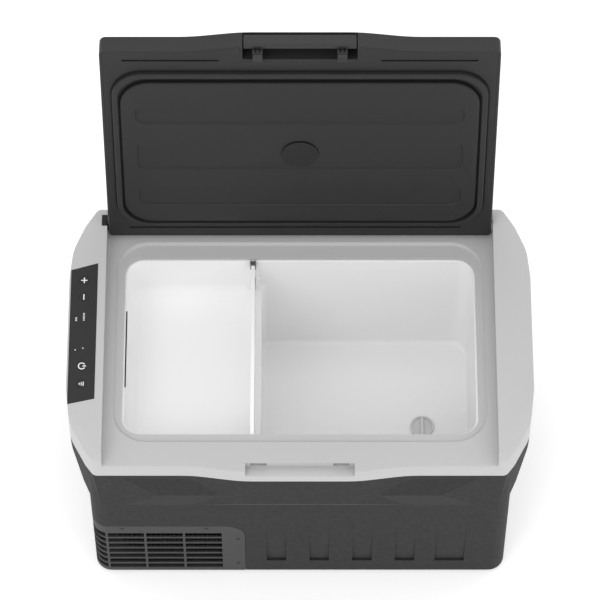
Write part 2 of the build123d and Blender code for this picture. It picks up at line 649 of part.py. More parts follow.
def liner_core(grow, z_top):
    """Inside space of the liner, grown evenly: both compartments as one solid."""
    shallow = slab(LINER_X0 - grow, LINER_X1 + grow, LINER_Y0 - grow, LINER_Y1 + grow, SHALLOW_FLOOR - grow, z_top,
                   LINER_R + grow)
    deep = plan_block(deep_outline(grow), DEEP_FLOOR - grow, SHALLOW_FLOOR + 20.0)
    return rounded_bottom(shallow, FLOOR_FILLET + grow) + rounded_bottom(deep, STEP_R - 1.0 + grow)


def divider_guides():
    """Two pairs of short ribs low on the front and back walls that the divider slides between."""
    ribs = []
    slot = DIVIDER_T / 2 + 0.6
    for side in (-1, 1):
        x = DIVIDER_X + side * (slot + GUIDE_W / 2)
        for y0, y1 in ((LINER_Y1 - GUIDE_T, LINER_Y1 + 1.0), (LINER_Y0 - 1.0, LINER_Y0 + GUIDE_T)):
            z0 = SHALLOW_FLOOR - 1.0
            ribs.append(slab(x - GUIDE_W / 2, x + GUIDE_W / 2, y0, y1, z0, SHALLOW_FLOOR + GUIDE_H))
    inside = liner_core(LINER_WALL / 2, LINER_TOP)
    return [rib & inside for rib in ribs]


def liner():
    """White two-level tub with a top flange, divider guides and a drain seat."""
    tub = liner_core(LINER_WALL, LINER_TOP)
    flange = slab(LINER_X0 - 12.0, LINER_X1 + 12.0, LINER_Y0 - 12.0, LINER_Y1 + 12.0, LINER_TOP - LINER_WALL,
                  LINER_TOP, LINER_R + 8.0)
    tub = tub + flange - liner_core(0.0, LINER_TOP + 1.0)
    for rib in divider_guides():
        tub += rib
    tub -= rod_z(DRAIN_X, DRAIN_Y, DEEP_FLOOR - 5.0, DEEP_FLOOR + 5.0, DRAIN_BORE_R + 1.0)
    return tub


def foam_insulation():
    """Foamed-in insulation between the shell and the liner, around the machine bay."""
    gap = GAP
    foam = cavity(BASE_Z + gap, POCKET_FLOOR - 3.0 - gap, SHELL_WALL + gap)
    foam -= liner_core(LINER_WALL + gap, LINER_TOP + 1.0)
    foam -= slab(-FAR, BAY_RIGHT, BODY_FRONT, BODY_BACK, 0.0, BAY_TOP)
    band = LINER_WALL + 9.0
    foam -= slab(STEP_X - band, LINER_X1 + band, LINER_Y0 - band, LINER_Y1 + band, DEEP_FLOOR - LINER_WALL - 0.5,
                 EVAP_LOW + EVAP_H + 2.0, STEP_R + band)
    foam -= grille_area(9.0, GRILLE_SIDE_BACK + 9.0, 0.0) & body_ring(0.0, 7.0, 0.0, GRILLE_TOP + 10.0)
    foam -= rod_z(DRAIN_X, DRAIN_Y, 0.0, DEEP_FLOOR, SPOUT_OUT_R + gap)
    for side in (-1, 1):
        foam -= grip_walls(side, gap)
    foam -= rod_x(BAY_RIGHT - 1.0, STEP_X + band, LINER_Y1 + COIL_GROW, COIL_TOP, TUBE_R + gap)
    foam -= rod_x(BAY_RIGHT - 1.0, STEP_X + band, LINER_Y0 - COIL_GROW, COIL_LOW, CAPILLARY_R + gap)
    return foam


# ---------------------------------------------------------------- panel and keys
def panel_block(grow, z0, z1):
    """The control panel's slanted outline, grown by a margin."""
    points = [
        (-PANEL_OUT - grow, PANEL_BACK_OUT + grow),
        (-PANEL_IN + grow, PANEL_BACK_IN + grow),
        (-PANEL_IN + grow, PANEL_FRONT_IN - grow),
        (-PANEL_OUT - grow, PANEL_FRONT_OUT - grow),
    ]
    return prism_z(points, z0, z1)


def control_panel():
    """Black front plate with a hole for each key."""
    plate = panel_block(0.0, PANEL_Z - PANEL_T, PANEL_Z)
    for y in KEY_Y:
        plate -= rod_z(KEY_X, y, 0.0, FAR, KEY_R + GAP)
    return plate


def key_cap(y):
    """A key flush with the panel, on a stem that reaches down to its switch."""
    cap = rod_z(KEY_X, y, PANEL_Z - PANEL_T, PANEL_Z, KEY_R)
    return cap + rod_z(KEY_X, y, PANEL_Z - PANEL_T - KEY_STEM_L, PANEL_Z - PANEL_T, KEY_STEM_R)


def control_board():
    """Circuit board with its switches and a two-digit display under the panel."""
    board = slab(KEY_X - BOARD_HALF_W, KEY_X + BOARD_HALF_W, KEY_Y[-1] - 13.5, KEY_Y[0] + 8.5, BOARD_TOP - BOARD_T,
                 BOARD_TOP)
    for y in KEY_Y:
        board += slab(KEY_X - 3.0, KEY_X + 3.0, y - 3.0, y + 3.0, BOARD_TOP, SWITCH_TOP)
    return board + slab(KEY_X - 8.0, KEY_X + 9.0, -10.0, 12.0, BOARD_TOP, SWITCH_TOP + KEY_STEM_L - GAP)


# ---------------------------------------------------------------- vents, feet, drain, inlet
def grille_screw_places():
    return [(x, BODY_FRONT, z) for x, z in GRILLE_SCREWS]


def vent_grille():
    """Corner panel with rows of slots that run round the corner of the cabinet."""
    low = FOOT_H + 2.0
    panel = grille_area(0.0, GRILLE_SIDE_BACK, low) & body_ring(0.0, GRILLE_T, low, GRILLE_TOP + 1.0)
    starts = (-BODY_HALF_W - 5.0,) + tuple(x + SLOT_BAR / 2 for x in SLOT_BARS_X)
    ends = tuple(x - SLOT_BAR / 2 for x in SLOT_BARS_X) + (SLOT_END_X,)
    side_bar = BODY_FRONT + 38.0
    side_columns = ((BODY_FRONT - 5.0, side_bar), (side_bar + SLOT_BAR, GRILLE_SIDE_BACK - 10.0))
    for row in range(SLOT_ROWS):
        z1 = SLOT_TOP - row * SLOT_PITCH
        z0 = max(z1 - SLOT_H, BASE_Z + GAP)
        if z1 - z0 < SLOT_H / 2:
            break
        for x0, x1 in zip(starts, ends):
            panel -= slab(x0, x1, BODY_FRONT - 5.0, BODY_FRONT + BODY_CORNER_R, z0, z1)
        for y0, y1 in side_columns:
            panel -= slab(-BODY_HALF_W - 5.0, -BODY_HALF_W + 10.0, y0, y1, z0, z1)
    for x, y, z in grille_screw_places():
        panel -= rod_y(x, y - 1.0, y + 1.2, z, 3.2)
        panel -= rod_y(x, y - 1.0, y + 9.0, z, 1.6)
    return panel


def grille_screws():
    """Four small pan-head screws of the corner panel."""
    screws = []
    for x, y, z in grille_screw_places():
        head = rod_y(x, y + 0.1, y + 1.2, z, 3.0)
        head -= slab(x - 2.2, x + 2.2, y - 1.0, y + 0.7, z - 0.4, z + 0.4)
        head -= slab(x - 0.4, x + 0.4, y - 1.0, y + 0.7, z - 2.2, z + 2.2)
        screws.append(head + rod_y(x, y + 1.2, y + 8.0, z, 1.45))
    return screws


def rear_vent():
    """Slotted air outlet let into the back wall behind the compressor."""
    inside = BODY_BACK - SHELL_WALL - GAP
    plate = rear_vent_window(-GAP, inside - 3.0, BODY_BACK - 0.2)
    plate += rear_vent_window(5.0, inside - 3.0, inside)
    plate -= rear_vent_window(-6.0, inside - 4.0, BODY_BACK - 2.6)
    middle = VENT_X0 + VENT_W / 2
    rows = int((VENT_H - 12.0) // 14.0) + 1
    for row in range(rows):
        z = VENT_LOW + 8.0 + row * 14.0
        for x0, x1 in ((VENT_X0 + 7.0, middle - 2.0), (middle + 2.0, VENT_X0 + VENT_W - 7.0)):
            plate -= slab(x0, x1, BODY_BACK - 8.0, BODY_BACK + 1.0, z, min(z + 7.0, VENT_LOW + VENT_H - 6.0))
    return plate


def dc_socket():
    """Low-voltage inlet: a flanged housing with an open front, let into the back wall."""
    housing = socket_window(-GAP, BODY_BACK - 24.0, BODY_BACK - 0.3)
    housing -= socket_window(-SOCKET_WALL, BODY_BACK - SOCKET_DEPTH, BODY_BACK + 1.0)
    for dx in SOCKET_PINS:
        housing -= rod_y(SOCKET_X + dx, BODY_BACK - 30.0, BODY_BACK, SOCKET_Z, SOCKET_PIN_R + PRESS)
    return housing


def socket_pins():
    """Two round contact pins inside the inlet."""
    return [rod_y(SOCKET_X + dx, BODY_BACK - 24.0, BODY_BACK - 5.0, SOCKET_Z, SOCKET_PIN_R) for dx in SOCKET_PINS]


def feet():
    """Four soft feet under the corners."""
    pads = []
    for x, y in foot_places():
        pad = rounded_bottom(rod_z(x, y, 0.0, FOOT_H + 0.45, FOOT_R), 1.5)
        pad -= rod_z(x, y, -1.0, FOOT_H / 2, 5.0)
        pads.append(pad - rod_z(x, y, 0.0, FOOT_H + 1.0, 2.1))
    return pads


def foot_screws():
    """Screws that hold the feet, with their heads sunk in the rubber."""
    screws = []
    under = FOOT_H / 2
    for x, y in foot_places():
        head = rod_z(x, y, under - 2.0, under, 3.8) - slab(x - 2.5, x + 2.5, y - 0.5, y + 0.5, 0.0, under - 1.0)
        screws.append(head + rod_z(x, y, under, BASE_Z + 0.2, 1.95))
    return screws


def drain_tube():
    """Drain spout from the deep floor through the foam and the shell."""
    seat = DEEP_FLOOR - LINER_WALL - GAP
    spout = rod_z(DRAIN_X, DRAIN_Y, SPOUT_LOW, seat, SPOUT_OUT_R)
    spout -= rod_z(DRAIN_X, DRAIN_Y, SPOUT_LOW, SPOUT_LOW + SPOUT_BORE_L, SPOUT_BORE_R)
    return spout - rod_z(DRAIN_X, DRAIN_Y, 0.0, seat + 1.0, DRAIN_BORE_R)


def drain_plug():
    """Bung with a finger bar across its rim; its shaft sits in the spout."""
    disc = rod_z(DRAIN_X, DRAIN_Y, DEEP_FLOOR + 0.1, DEEP_FLOOR + 4.0, PLUG_R)
    disc = fillet(disc.edges().group_by(Axis.Z)[-1], 1.2)
    disc -= rod_z(DRAIN_X, DRAIN_Y, DEEP_FLOOR + 2.0, DEEP_FLOOR + 6.0, PLUG_R - 2.5)
    disc += slab(DRAIN_X - 1.8, DRAIN_X + 1.8, DRAIN_Y - PLUG_R + 2.0, DRAIN_Y + PLUG_R - 2.0, DEEP_FLOOR + 1.5,
                 DEEP_FLOOR + 5.5)
    return disc + rod_z(DRAIN_X, DRAIN_Y, DEEP_FLOOR - PLUG_SHAFT_L, DEEP_FLOOR + 1.0, DRAIN_BORE_R - SEAL_GAP)


def drain_seal():
    """O-ring on the bung's shaft."""
    z = DEEP_FLOOR - 12.0
    groove = rod_z(DRAIN_X, DRAIN_Y, z, z + 2.4, DRAIN_BORE_R - FIT)
    return groove - rod_z(DRAIN_X, DRAIN_Y, z - 1.0, z + 4.0, DRAIN_BORE_R - SEAL_GAP + PRESS)


def sensor_cover():
    """Narrow dark strip over the temperature sensor, high on the left wall."""
    return slab(LINER_X0 + 0.05, LINER_X0 + 1.6, -57.0, 50.0, LINER_TOP - 9.0, LINER_TOP - 5.0)


def interior_lamp():
    """Small lamp lens on the front wall of the deep compartment."""
    lens = slab(80.0, 112.0, LINER_Y0 + 0.05, LINER_Y0 + 4.0, LINER_TOP - 22.0, LINER_TOP - 12.0)
    return fillet(lens.edges().group_by(Axis.Y)[-1], 1.5)


# ---------------------------------------------------------------- divider
def divider_panel():
    """Removable wall between the two compartments, with a finger hole near its top."""
    y0 = LINER_Y0 + GAP
    y1 = LINER_Y1 - GAP
    bottom = SHALLOW_FLOOR + 0.5
    plate = slab(DIVIDER_X - DIVIDER_T / 2, DIVIDER_X + DIVIDER_T / 2, y0, y1, bottom, DIVIDER_TOP)
    lower = plate.edges().filter_by(Axis.X).group_by(Axis.Z)[0]
    plate = fillet(lower, FLOOR_FILLET + 2.0)
    hole = slab(DIVIDER_X - 10.0, DIVIDER_X + 10.0, -30.0, 30.0, DIVIDER_TOP - 28.0, DIVIDER_TOP - 12.0)
    return plate - fillet(hole.edges().filter_by(Axis.X), 7.5)


def divider_clip():
    """Dark clip over the divider's rear top corner, with two short prongs."""
    side = DIVIDER_T / 2 + 0.1
    y1 = LINER_Y1 - GAP
    clip = slab(DIVIDER_X - side - 1.2, DIVIDER_X + side + 1.2, y1 - 5.0, y1, DIVIDER_TOP - 10.0, DIVIDER_TOP + 3.0)
    clip -= slab(DIVIDER_X - side, DIVIDER_X + side, y1 - 6.0, y1 + 1.0, 0.0, DIVIDER_TOP + 0.1)
    for x in (-1, 1):
        arm = DIVIDER_X + x * (side + 0.6)
        clip += slab(arm - 0.6, arm + 0.6, y1 - 4.0, y1, DIVIDER_TOP + 2.5, DIVIDER_TOP + 5.2)
    return clip


# ---------------------------------------------------------------- lid
def latch_recess(grow):
    """Recess in the lid's front edge that the latch bar sits in."""
    return slab(-LATCH_RECESS_HALF_W - grow, LATCH_RECESS_HALF_W + grow, LID_FRONT - 30.0, LATCH_RECESS_BACK + grow,
                LID_UNDER - 1.0, LID_TOP - 2.2 + min(grow, 1.0))


def lid_shell():
    """Outer lid moulding: bulged front edge, rounded top, hollow from below, latch recess and hinge bosses."""
    outline = front_plan(LID_HALF_W, LID_BACK, LID_FRONT, BULGE_DEPTH, LID_CORNER_R)
    lid = rounded_top(plan_block(outline, LID_UNDER, LID_TOP), 2.0)
    hollow = plan_block(front_plan(LID_HALF_W, LID_BACK, LID_FRONT, BULGE_DEPTH, LID_CORNER_R, LID_WALL),
                        LID_UNDER - 1.0, LID_TOP - LID_WALL)
    hollow -= latch_recess(2.5)
    for side in (-1, 1):
        hollow -= side_block(side, LID_HALF_W - 26.0, LID_HALF_W, HINGE_Y - 8.0, LID_BACK, LID_UNDER + 3.5, LID_TOP)
    lid -= hollow
    lid -= latch_recess(0.0)
    heel = [(LID_BACK - LID_HEEL, LID_UNDER - 0.1), (LID_BACK + 1.0, LID_UNDER - 0.1),
            (LID_BACK + 1.0, LID_UNDER + LID_HEEL + 1.0)]
    lid -= prism_x(heel, -FAR, FAR)
    lid -= rod_x(LID_HALF_W - 20.0, LID_HALF_W + 1.0, HINGE_Y, HINGE_Z, PIN_R + PRESS)
    lid -= rod_x(-LID_HALF_W - 1.0, -LID_HALF_W + 23.0, HINGE_Y, HINGE_Z, PIN_R + FIT)
    half = LATCH_RECESS_HALF_W
    for x in (-half - 1.0, half - 0.5):
        lid -= rod_x(x, x + 1.5, LATCH_PIVOT_Y, LATCH_PIVOT_Z, LATCH_PIN_R + PRESS)
    return lid


def pan_block(margin, z0, z1):
    """Block with the outline of the inner panel's raised middle, drawn in by a margin."""
    return slab(-PAN_HALF_W + margin, PAN_HALF_W - margin, PAN_FRONT + margin, PAN_BACK - margin, z0, z1,
                PAN_R - margin)


def lid_inner_panel():
    """Inner lid panel: gasket groove, raised middle with three pressed fields, and moulded slots."""
    thick = 2.6
    outline = front_plan(LID_HALF_W, LID_BACK, LID_FRONT, BULGE_DEPTH, LID_CORNER_R, LID_WALL + GAP)
    panel = plan_block(outline, LID_UNDER, LID_UNDER + thick)
    panel -= latch_recess(2.5 + GAP)
    back = LID_UNDER + GASKET_GROOVE + thick
    panel += slab(-RIM_HALF_W + 0.6, RIM_HALF_W - 0.6, RIM_FRONT + 0.6, RIM_BACK - 4.0, LID_UNDER, back, RIM_R - 1.0)
    panel -= slab(-RIM_HALF_W + 1.2, RIM_HALF_W - 1.2, RIM_FRONT + 1.2, RIM_BACK - 4.6, LID_UNDER - 1.0,
                  LID_UNDER + GASKET_GROOVE, RIM_R - 1.6)
    crown = LID_UNDER - PAN_H
    pan = pan_block(0.0, crown, LID_UNDER + GASKET_GROOVE + 0.1)
    pan = fillet(pan.edges().group_by(Axis.Z)[0], 3.2)
    inside = pan_block(5.0, crown + 2.6, back + 1.0)
    panel = panel - inside + (pan - inside)
    half = PAN_HALF_W - FIELD_SET_IN
    for y_front, y_back in FIELD_PLACES:
        field = slab(-half, half, PAN_FRONT + y_front, PAN_FRONT + y_back, crown - 1.0, crown + FIELD_DEPTH, 14.0)
        panel -= chamfer(field.edges().group_by(Axis.Z)[-1], FIELD_DEPTH - 0.1)
    panel -= rod_z(0.0, CAP_Y, crown - 1.0, LID_UNDER, CAP_R + GAP)
    end = PAN_HALF_W - 5.0
    for side in (-1, 1):
        panel -= side_block(side, LATCH_RECESS_HALF_W + 28.7, end, LID_FRONT + 16.4, LID_FRONT + 19.4, LID_UNDER - 1.0,
                            LID_UNDER + 1.6, 1.45)
    return panel - slab(-end, end - 11.0, LID_BACK - 19.0, LID_BACK - 16.4, LID_UNDER - 1.0, LID_UNDER + 1.6, 1.25)


def lid_gasket():
    """Soft seal in the groove of the inner panel."""
    z0 = RIM_Z + 0.4
    z1 = LID_UNDER + GASKET_GROOVE - 0.1
    edge = 3.0
    ring = slab(-RIM_HALF_W + edge, RIM_HALF_W - edge, RIM_FRONT + edge, RIM_BACK - edge - 4.0, z0, z1, RIM_R - edge)
    ring = fillet(ring.edges().group_by(Axis.Z)[0], 2.0)
    inner = RIM_HALF_W - edge - GASKET_W
    hole = slab(-inner, inner, RIM_FRONT + edge + GASKET_W, min(PAN_BACK + 1.0, RIM_BACK - edge - 8.0), z0 - 1.0,
                z1 + 1.0, RIM_R - edge - GASKET_W / 2)
    return ring - hole - pan_block(-0.6, z0 - 1.0, z1 + 1.0)


def lid_foam():
    """Insulation inside the lid."""
    foam = plan_block(front_plan(LID_HALF_W, LID_BACK, LID_FRONT, BULGE_DEPTH, LID_CORNER_R, LID_WALL + GAP),
                      LID_UNDER + GASKET_GROOVE + 3.0, LID_TOP - LID_WALL - GAP)
    foam -= latch_recess(2.5 + GAP)
    for side in (-1, 1):
        foam -= side_block(side, LID_HALF_W - 26.5, LID_HALF_W, HINGE_Y - 8.5, LID_BACK, LID_UNDER, LID_TOP)
    return foam


def foam_port_cap():
    """Round cap over the foam filling hole, flush in the inner panel."""
    return rod_z(0.0, CAP_Y, LID_UNDER - PAN_H - 0.6, LID_UNDER - PAN_H + 2.5, CAP_R)


def hinge_pin_right():
    """Fixed steel pin pressed in the lid; its free end turns in the right handle."""
    return rod_x(LID_HALF_W - 20.0, EAR_INNER + 7.0, HINGE_Y, HINGE_Z, PIN_R)


def hinge_pin_left():
    """Sliding pin; drawn into the lid it frees the lid from the left handle."""
    return rod_x(-EAR_INNER - 5.6, -LID_HALF_W + 12.0, HINGE_Y, HINGE_Z, PIN_R)


def hinge_spring():
    """Coil that pushes the sliding pin out, drawn as stacked turns."""
    start = -LID_HALF_W + 12.4
    turns = []
    for i in range(4):
        x = start + 0.5 + i * 2.4
        ring = rod_x(x, x + 1.0, HINGE_Y, HINGE_Z, PIN_R - 0.4)
        turns.append(ring - rod_x(x - 1.0, x + 2.0, HINGE_Y, HINGE_Z, PIN_R - 1.5))
    return turns


# ---------------------------------------------------------------- latch
def latch_bar():
    """Pull bar across the middle of the lid's front edge."""
    front = LID_FRONT - BULGE_DEPTH
    bottom = LID_UNDER + LATCH_LOW_GAP
    top = bottom + LATCH_BAR_H
    points = [
        (front, bottom + 3.0),
        (front + 2.0, bottom),
        (front + LATCH_BAR_T, bottom),
        (front + LATCH_BAR_T, top - 6.0),
        (front + LATCH_BAR_T + 3.5, top - 4.0),
        (front + LATCH_BAR_T + 3.5, top),
        (front + 1.0, top),
        (front, top - 1.0),
    ]
    bar = prism_x(points, -LATCH_HALF_W, LATCH_HALF_W)
    return bar - rod_x(-FAR, FAR, LATCH_PIVOT_Y, LATCH_PIVOT_Z, LATCH_PIN_R + FIT)


def latch_hooks():
    """Two barbed hooks, each with three stiffening fins."""
    hooks = []
    front = LID_FRONT - BULGE_DEPTH + LATCH_BAR_T
    top = LID_UNDER + 12.0
    low = KEEPER_LOW + HOOK_SWING
    barb_top = KEEPER_HIGH - 1.0
    tip = KEEPER_BACK - 3.0
    for x in (-LATCH_HOOK_X, LATCH_HOOK_X):
        x0 = x - LATCH_HOOK_W / 2
        x1 = x + LATCH_HOOK_W / 2
        arm = slab(x0, x1, front + 2.2, front + 4.4, low, top)
        barb = [(front + 4.3, barb_top), (tip, barb_top), (tip, barb_top - 1.4), (POCKET_BACK, low), (front + 4.3, low)]
        hook = arm + prism_x(barb, x0, x1)
        for fin in (x0, x - 0.9, x1 - 1.8):
            hook += slab(fin, fin + 1.8, front, front + 2.3, low + 1.0, top)
        hooks.append(hook)
    return hooks


def latch_pin():
    """Steel rod that the latch bar turns on."""
    end = LATCH_RECESS_HALF_W + 0.8
    return rod_x(-end, end, LATCH_PIVOT_Y, LATCH_PIVOT_Z, LATCH_PIN_R)


# ---------------------------------------------------------------- machine bay
def base_plate():
    """Steel tray that carries the compressor and the condenser."""
    return slab(-BODY_HALF_W + SHELL_WALL + 4.0, BAY_RIGHT - 4.0, BODY_FRONT + 14.0, BODY_BACK - 14.0, TRAY_Z,
                TRAY_TOP, 6.0)


def compressor():
    """Hermetic compressor: domed can with a weld seam on a three-legged foot plate."""
    can = rod_z(COMP_X, COMP_Y, COMP_CAN_LOW, COMP_CAN_TOP, COMP_R)
    can = fillet(can.edges().group_by(Axis.Z)[-1], 26.0)
    can = fillet(can.edges().group_by(Axis.Z)[0], 10.0)
    seam_z = COMP_CAN_LOW + COMP_H * 0.55
    seam = rod_z(COMP_X, COMP_Y, seam_z, seam_z + 4.0, COMP_R + 2.0)
    points = [(COMP_X + dx * 1.16, COMP_Y + dy * 1.16) for dx, dy in COMP_FEET]
    plate = prism_z(points, COMP_BASE, COMP_BASE + 2.5)
    plate += rod_z(COMP_X, COMP_Y, COMP_BASE, COMP_BASE + 2.5, 44.0)
    for dx, dy in COMP_FEET:
        plate += rod_z(COMP_X + dx, COMP_Y + dy, COMP_BASE, COMP_BASE + 2.5, 13.0)
    for dx, dy in COMP_FEET:
        plate -= rod_z(COMP_X + dx, COMP_Y + dy, 0.0, 100.0, 5.6)
        can -= rod_z(COMP_X + dx, COMP_Y + dy, 0.0, COMP_BASE + 22.0, 13.0)
    return can + seam + plate


def compressor_mounts():
    """Rubber grommets under the compressor's feet."""
    mounts = []
    for dx, dy in COMP_FEET:
        x = COMP_X + dx
        y = COMP_Y + dy
        grommet = rod_z(x, y, TRAY_TOP + 0.05, COMP_BASE - 0.05, 9.0)
        grommet += rod_z(x, y, COMP_BASE - 0.1, COMP_BASE + 2.7, 5.4)
        grommet += rod_z(x, y, COMP_BASE + 2.6, COMP_BASE + 5.0, 8.0)
        mounts.append(grommet - rod_z(x, y, 0.0, 100.0, 3.1))
    return mounts


def compressor_bolts():
    """Bolts through the grommets into the tray."""
    bolts = []
    for dx, dy in COMP_FEET:
        x = COMP_X + dx
        y = COMP_Y + dy
        head = Pos(x, y, COMP_BASE + 5.05) * extrude(RegularPolygon(5.5, 6), 4.0)
        bolts.append(head + rod_z(x, y, TRAY_TOP + 0.05, COMP_BASE + 5.1, 3.0))
    return bolts


def terminal_cover():
    """Plastic cover over the compressor's terminals."""
    x0 = COMP_X + COMP_R + 2.5
    cover = slab(x0, x0 + 20.0, COMP_Y - 22.0, COMP_Y + 22.0, COMP_BASE + 40.0, COMP_BASE + 84.0)
    return fillet(cover.edges().group_by(Axis.X)[-1], 4.0)


def fan_shroud():
    """Square fan frame with a round duct, four struts and a motor seat."""
    y0 = FAN_Y - FAN_DEPTH / 2
    y1 = FAN_Y + FAN_DEPTH / 2
    frame = slab(FAN_X - FAN_HALF, FAN_X + FAN_HALF, y0, y1, FAN_Z - FAN_HALF, FAN_Z + FAN_HALF)
    frame -= rod_y(FAN_X, y0 - 1.0, y1 + 1.0, FAN_Z, FAN_BORE)
    for angle in (45, 135, 225, 315):
        strut = Pos(FAN_BORE / 2 + 6.0, 0, 0) * Box(FAN_BORE - 10.0, 3.0, 5.0)
        frame += Pos(FAN_X, y1 - 1.5, FAN_Z) * Rot(0, angle, 0) * strut
    frame += rod_y(FAN_X, y1 - 3.0, y1, FAN_Z, FAN_HUB_R)
    for x in (-1, 1):
        for z in (-1, 1):
            frame -= rod_y(FAN_X + x * (FAN_HALF - 6.0), y0 - 1.0, y1 + 1.0, FAN_Z + z * (FAN_HALF - 6.0), 2.2)
    return frame - rod_y(FAN_X, y1 - 4.0, y1 + 1.0, FAN_Z, FAN_AXLE_R + PRESS)


def fan_axle():
    """Steel axle held in the fan frame."""
    return rod_y(FAN_X, FAN_Y - 8.0, FAN_Y + FAN_DEPTH / 2, FAN_Z, FAN_AXLE_R)


def fan_rotor():
    """Fan hub with pitched blades, turning on the axle."""
    y0 = FAN_Y - FAN_DEPTH / 2 + 2.0
    y1 = FAN_Y + FAN_DEPTH / 2 - 4.0
    rotor = rod_y(FAN_X, y0, y1, FAN_Z, FAN_HUB_R - 0.5)
    for i in range(FAN_BLADES):
        blade = Box(FAN_BORE - FAN_HUB_R - 1.0, 2.0, 22.0)
        reach = (FAN_BORE + FAN_HUB_R) / 2 - 1.6
        placed = Pos(FAN_X, (y0 + y1) / 2, FAN_Z) * Rot(0, i * 360 / FAN_BLADES, 0) * Pos(reach, 0, 0) * Rot(50, 0, 0)
        rotor += placed * blade
    return rotor - rod_y(FAN_X, y0 - 1.0, y1 + 1.0, FAN_Z, FAN_AXLE_R + FIT)


def condenser_rows():
    """Heights of the condenser's tube rows."""
    return [FAN_Z - COND_HALF_H + 11.0 + i * COND_ROW_GAP for i in range(COND_ROWS)]


def condenser_tube():
    """Serpentine tube through the fins; its lower end runs back to the filter drier."""
    rows = condenser_rows()
    points = [(DRIER_X, DRIER_Y, rows[0] + 12.0), (DRIER_X, DRIER_Y, rows[0])]
    x0 = FAN_X - COND_END
    x1 = FAN_X + COND_END
    for i, z in enumerate(rows):
        ends = (x0, x1) if i % 2 == 0 else (x1, x0)
        points += [(ends[0], COND_MID, z), (ends[1], COND_MID, z)]
    return tube_run(points, 5.0, TUBE_R)


def condenser_fins():
    """Stack of thin fins on the condenser tube."""
    fins = []
    step = 2 * COND_HALF_W / (COND_FINS - 1)
    for i in range(COND_FINS):
        x = FAN_X - COND_HALF_W + i * step
        fin = slab(x - 0.3, x + 0.3, COND_Y0, COND_Y0 + COND_DEPTH, FAN_Z - COND_HALF_H, FAN_Z + COND_HALF_H)
        for z in condenser_rows():
            fin -= rod_x(x - 1.0, x + 1.0, COND_MID, z, TUBE_R + PRESS)
        fins.append(fin)
    return fins


def evaporator_plate():
    """Thin band round the deep compartment that carries the cold tube."""
    grow = LINER_WALL + 0.4
    band = plan_block(deep_outline(grow + 1.0), EVAP_LOW, EVAP_LOW + EVAP_H)
    return band - plan_block(deep_outline(grow), 0.0, FAR)


def evaporator_coil():
    """Cold tube: loops round the deep compartment, each a step higher than the last."""
    x0 = STEP_X - COIL_GROW
    x1 = LINER_X1 + COIL_GROW
    y0 = LINER_Y0 - COIL_GROW
    y1 = LINER_Y1 + COIL_GROW
    points = []
    for i in range(COIL_LOOPS):
        z = COIL_LOW + i * COIL_PITCH
        points += [(x0, y0, z), (x1, y0, z), (x1, y1, z), (x0, y1, z)]
    points[0] = (x0 + COIL_LEAD, y0, COIL_LOW)
    points[-1] = (x0 + COIL_LEAD, y1, COIL_TOP)
    return tube_run(points, STEP_R + COIL_GROW, TUBE_R)


def filter_drier():
    """Copper drier bottle standing at the side of the bay, on the end of the condenser tube."""
    low = condenser_rows()[0] + 12.1
    bottle = rod_z(DRIER_X, DRIER_Y, low + 6.0, low + 6.0 + DRIER_L, DRIER_R)
    bottle = fillet(bottle.edges(), 4.0)
    return bottle + rod_z(DRIER_X, DRIER_Y, low, low + DRIER_L + 12.0, TUBE_R + 0.4)


def capillary_tube():
    """Thin tube from the drier to the cold coil's lower end."""
    top = condenser_rows()[0] + 12.2 + DRIER_L + 12.0
    y = LINER_Y0 - COIL_GROW
    x = BAY_RIGHT - 6.0
    points = [(DRIER_X, DRIER_Y, top), (DRIER_X, DRIER_Y, top + 30.0), (x, DRIER_Y, top + 30.0), (x, y, top + 30.0),
              (x, y, COIL_LOW), (STEP_X - COIL_GROW + COIL_LEAD - 0.1, y, COIL_LOW)]
    return tube_run(points, 5.0, CAPILLARY_R)


def discharge_tube():
    """Hot-gas tube from the compressor over the fan to the condenser's upper end."""
    z = COMP_CAN_TOP - 32.0
    over = max(FAN_Z + FAN_HALF, FAN_Z + COND_HALF_H) + 12.0
    front = COMP_Y - COMP_R - 52.0
    x = FAN_X + COND_END - 2.0
    points = [(COMP_X, COMP_Y - COMP_R - 0.05, z), (COMP_X, front, z), (COMP_X, front, over), (COMP_X, COND_MID, over),
              (x, COND_MID, over), (x, COND_MID, condenser_rows()[-1] + TUBE_R + 0.1)]
    return tube_run(points, 8.0, TUBE_R)


def suction_tube():
    """Return tube from the cold coil's upper end to the compressor."""
    y = LINER_Y1 + COIL_GROW
    points = [(COMP_X, COMP_Y, COMP_CAN_TOP + 0.2), (COMP_X, COMP_Y, COIL_TOP), (COMP_X, y, COIL_TOP),
              (STEP_X - COIL_GROW + COIL_LEAD - 0.1, y, COIL_TOP)]
    return tube_run(points, 12.0, TUBE_R)


def controller_case():
    """Finned case of the motor electronics."""
    x1 = BAY_RIGHT - 11.0
    x0 = x1 - CASE_W
    top = CASE_LOW + CASE_H
    case = slab(x0, x1, CASE_FRONT, CASE_BACK, CASE_LOW, top)
    fins = int((CASE_W - 4.0) // 5.5) + 1
    for i in range(fins):
        case += slab(x0 + 2.0 + i * 5.5, x0 + 3.5 + i * 5.5, CASE_FRONT, CASE_BACK, top - 1.0, top + 12.0)
    return case


def controller_bracket():
    """Bent bracket that carries the electronics on the tray."""
    x1 = BAY_RIGHT - 11.0
    x0 = x1 - CASE_W - 2.0
    bracket = slab(x0, x1, CASE_FRONT - 4.0, CASE_BACK + 4.0, TRAY_TOP + 0.1, TRAY_TOP + 1.6)
    return bracket + slab(x0, x0 + 1.6, CASE_FRONT - 4.0, CASE_BACK + 4.0, TRAY_TOP + 0.1, CASE_LOW + CASE_H - 6.0)


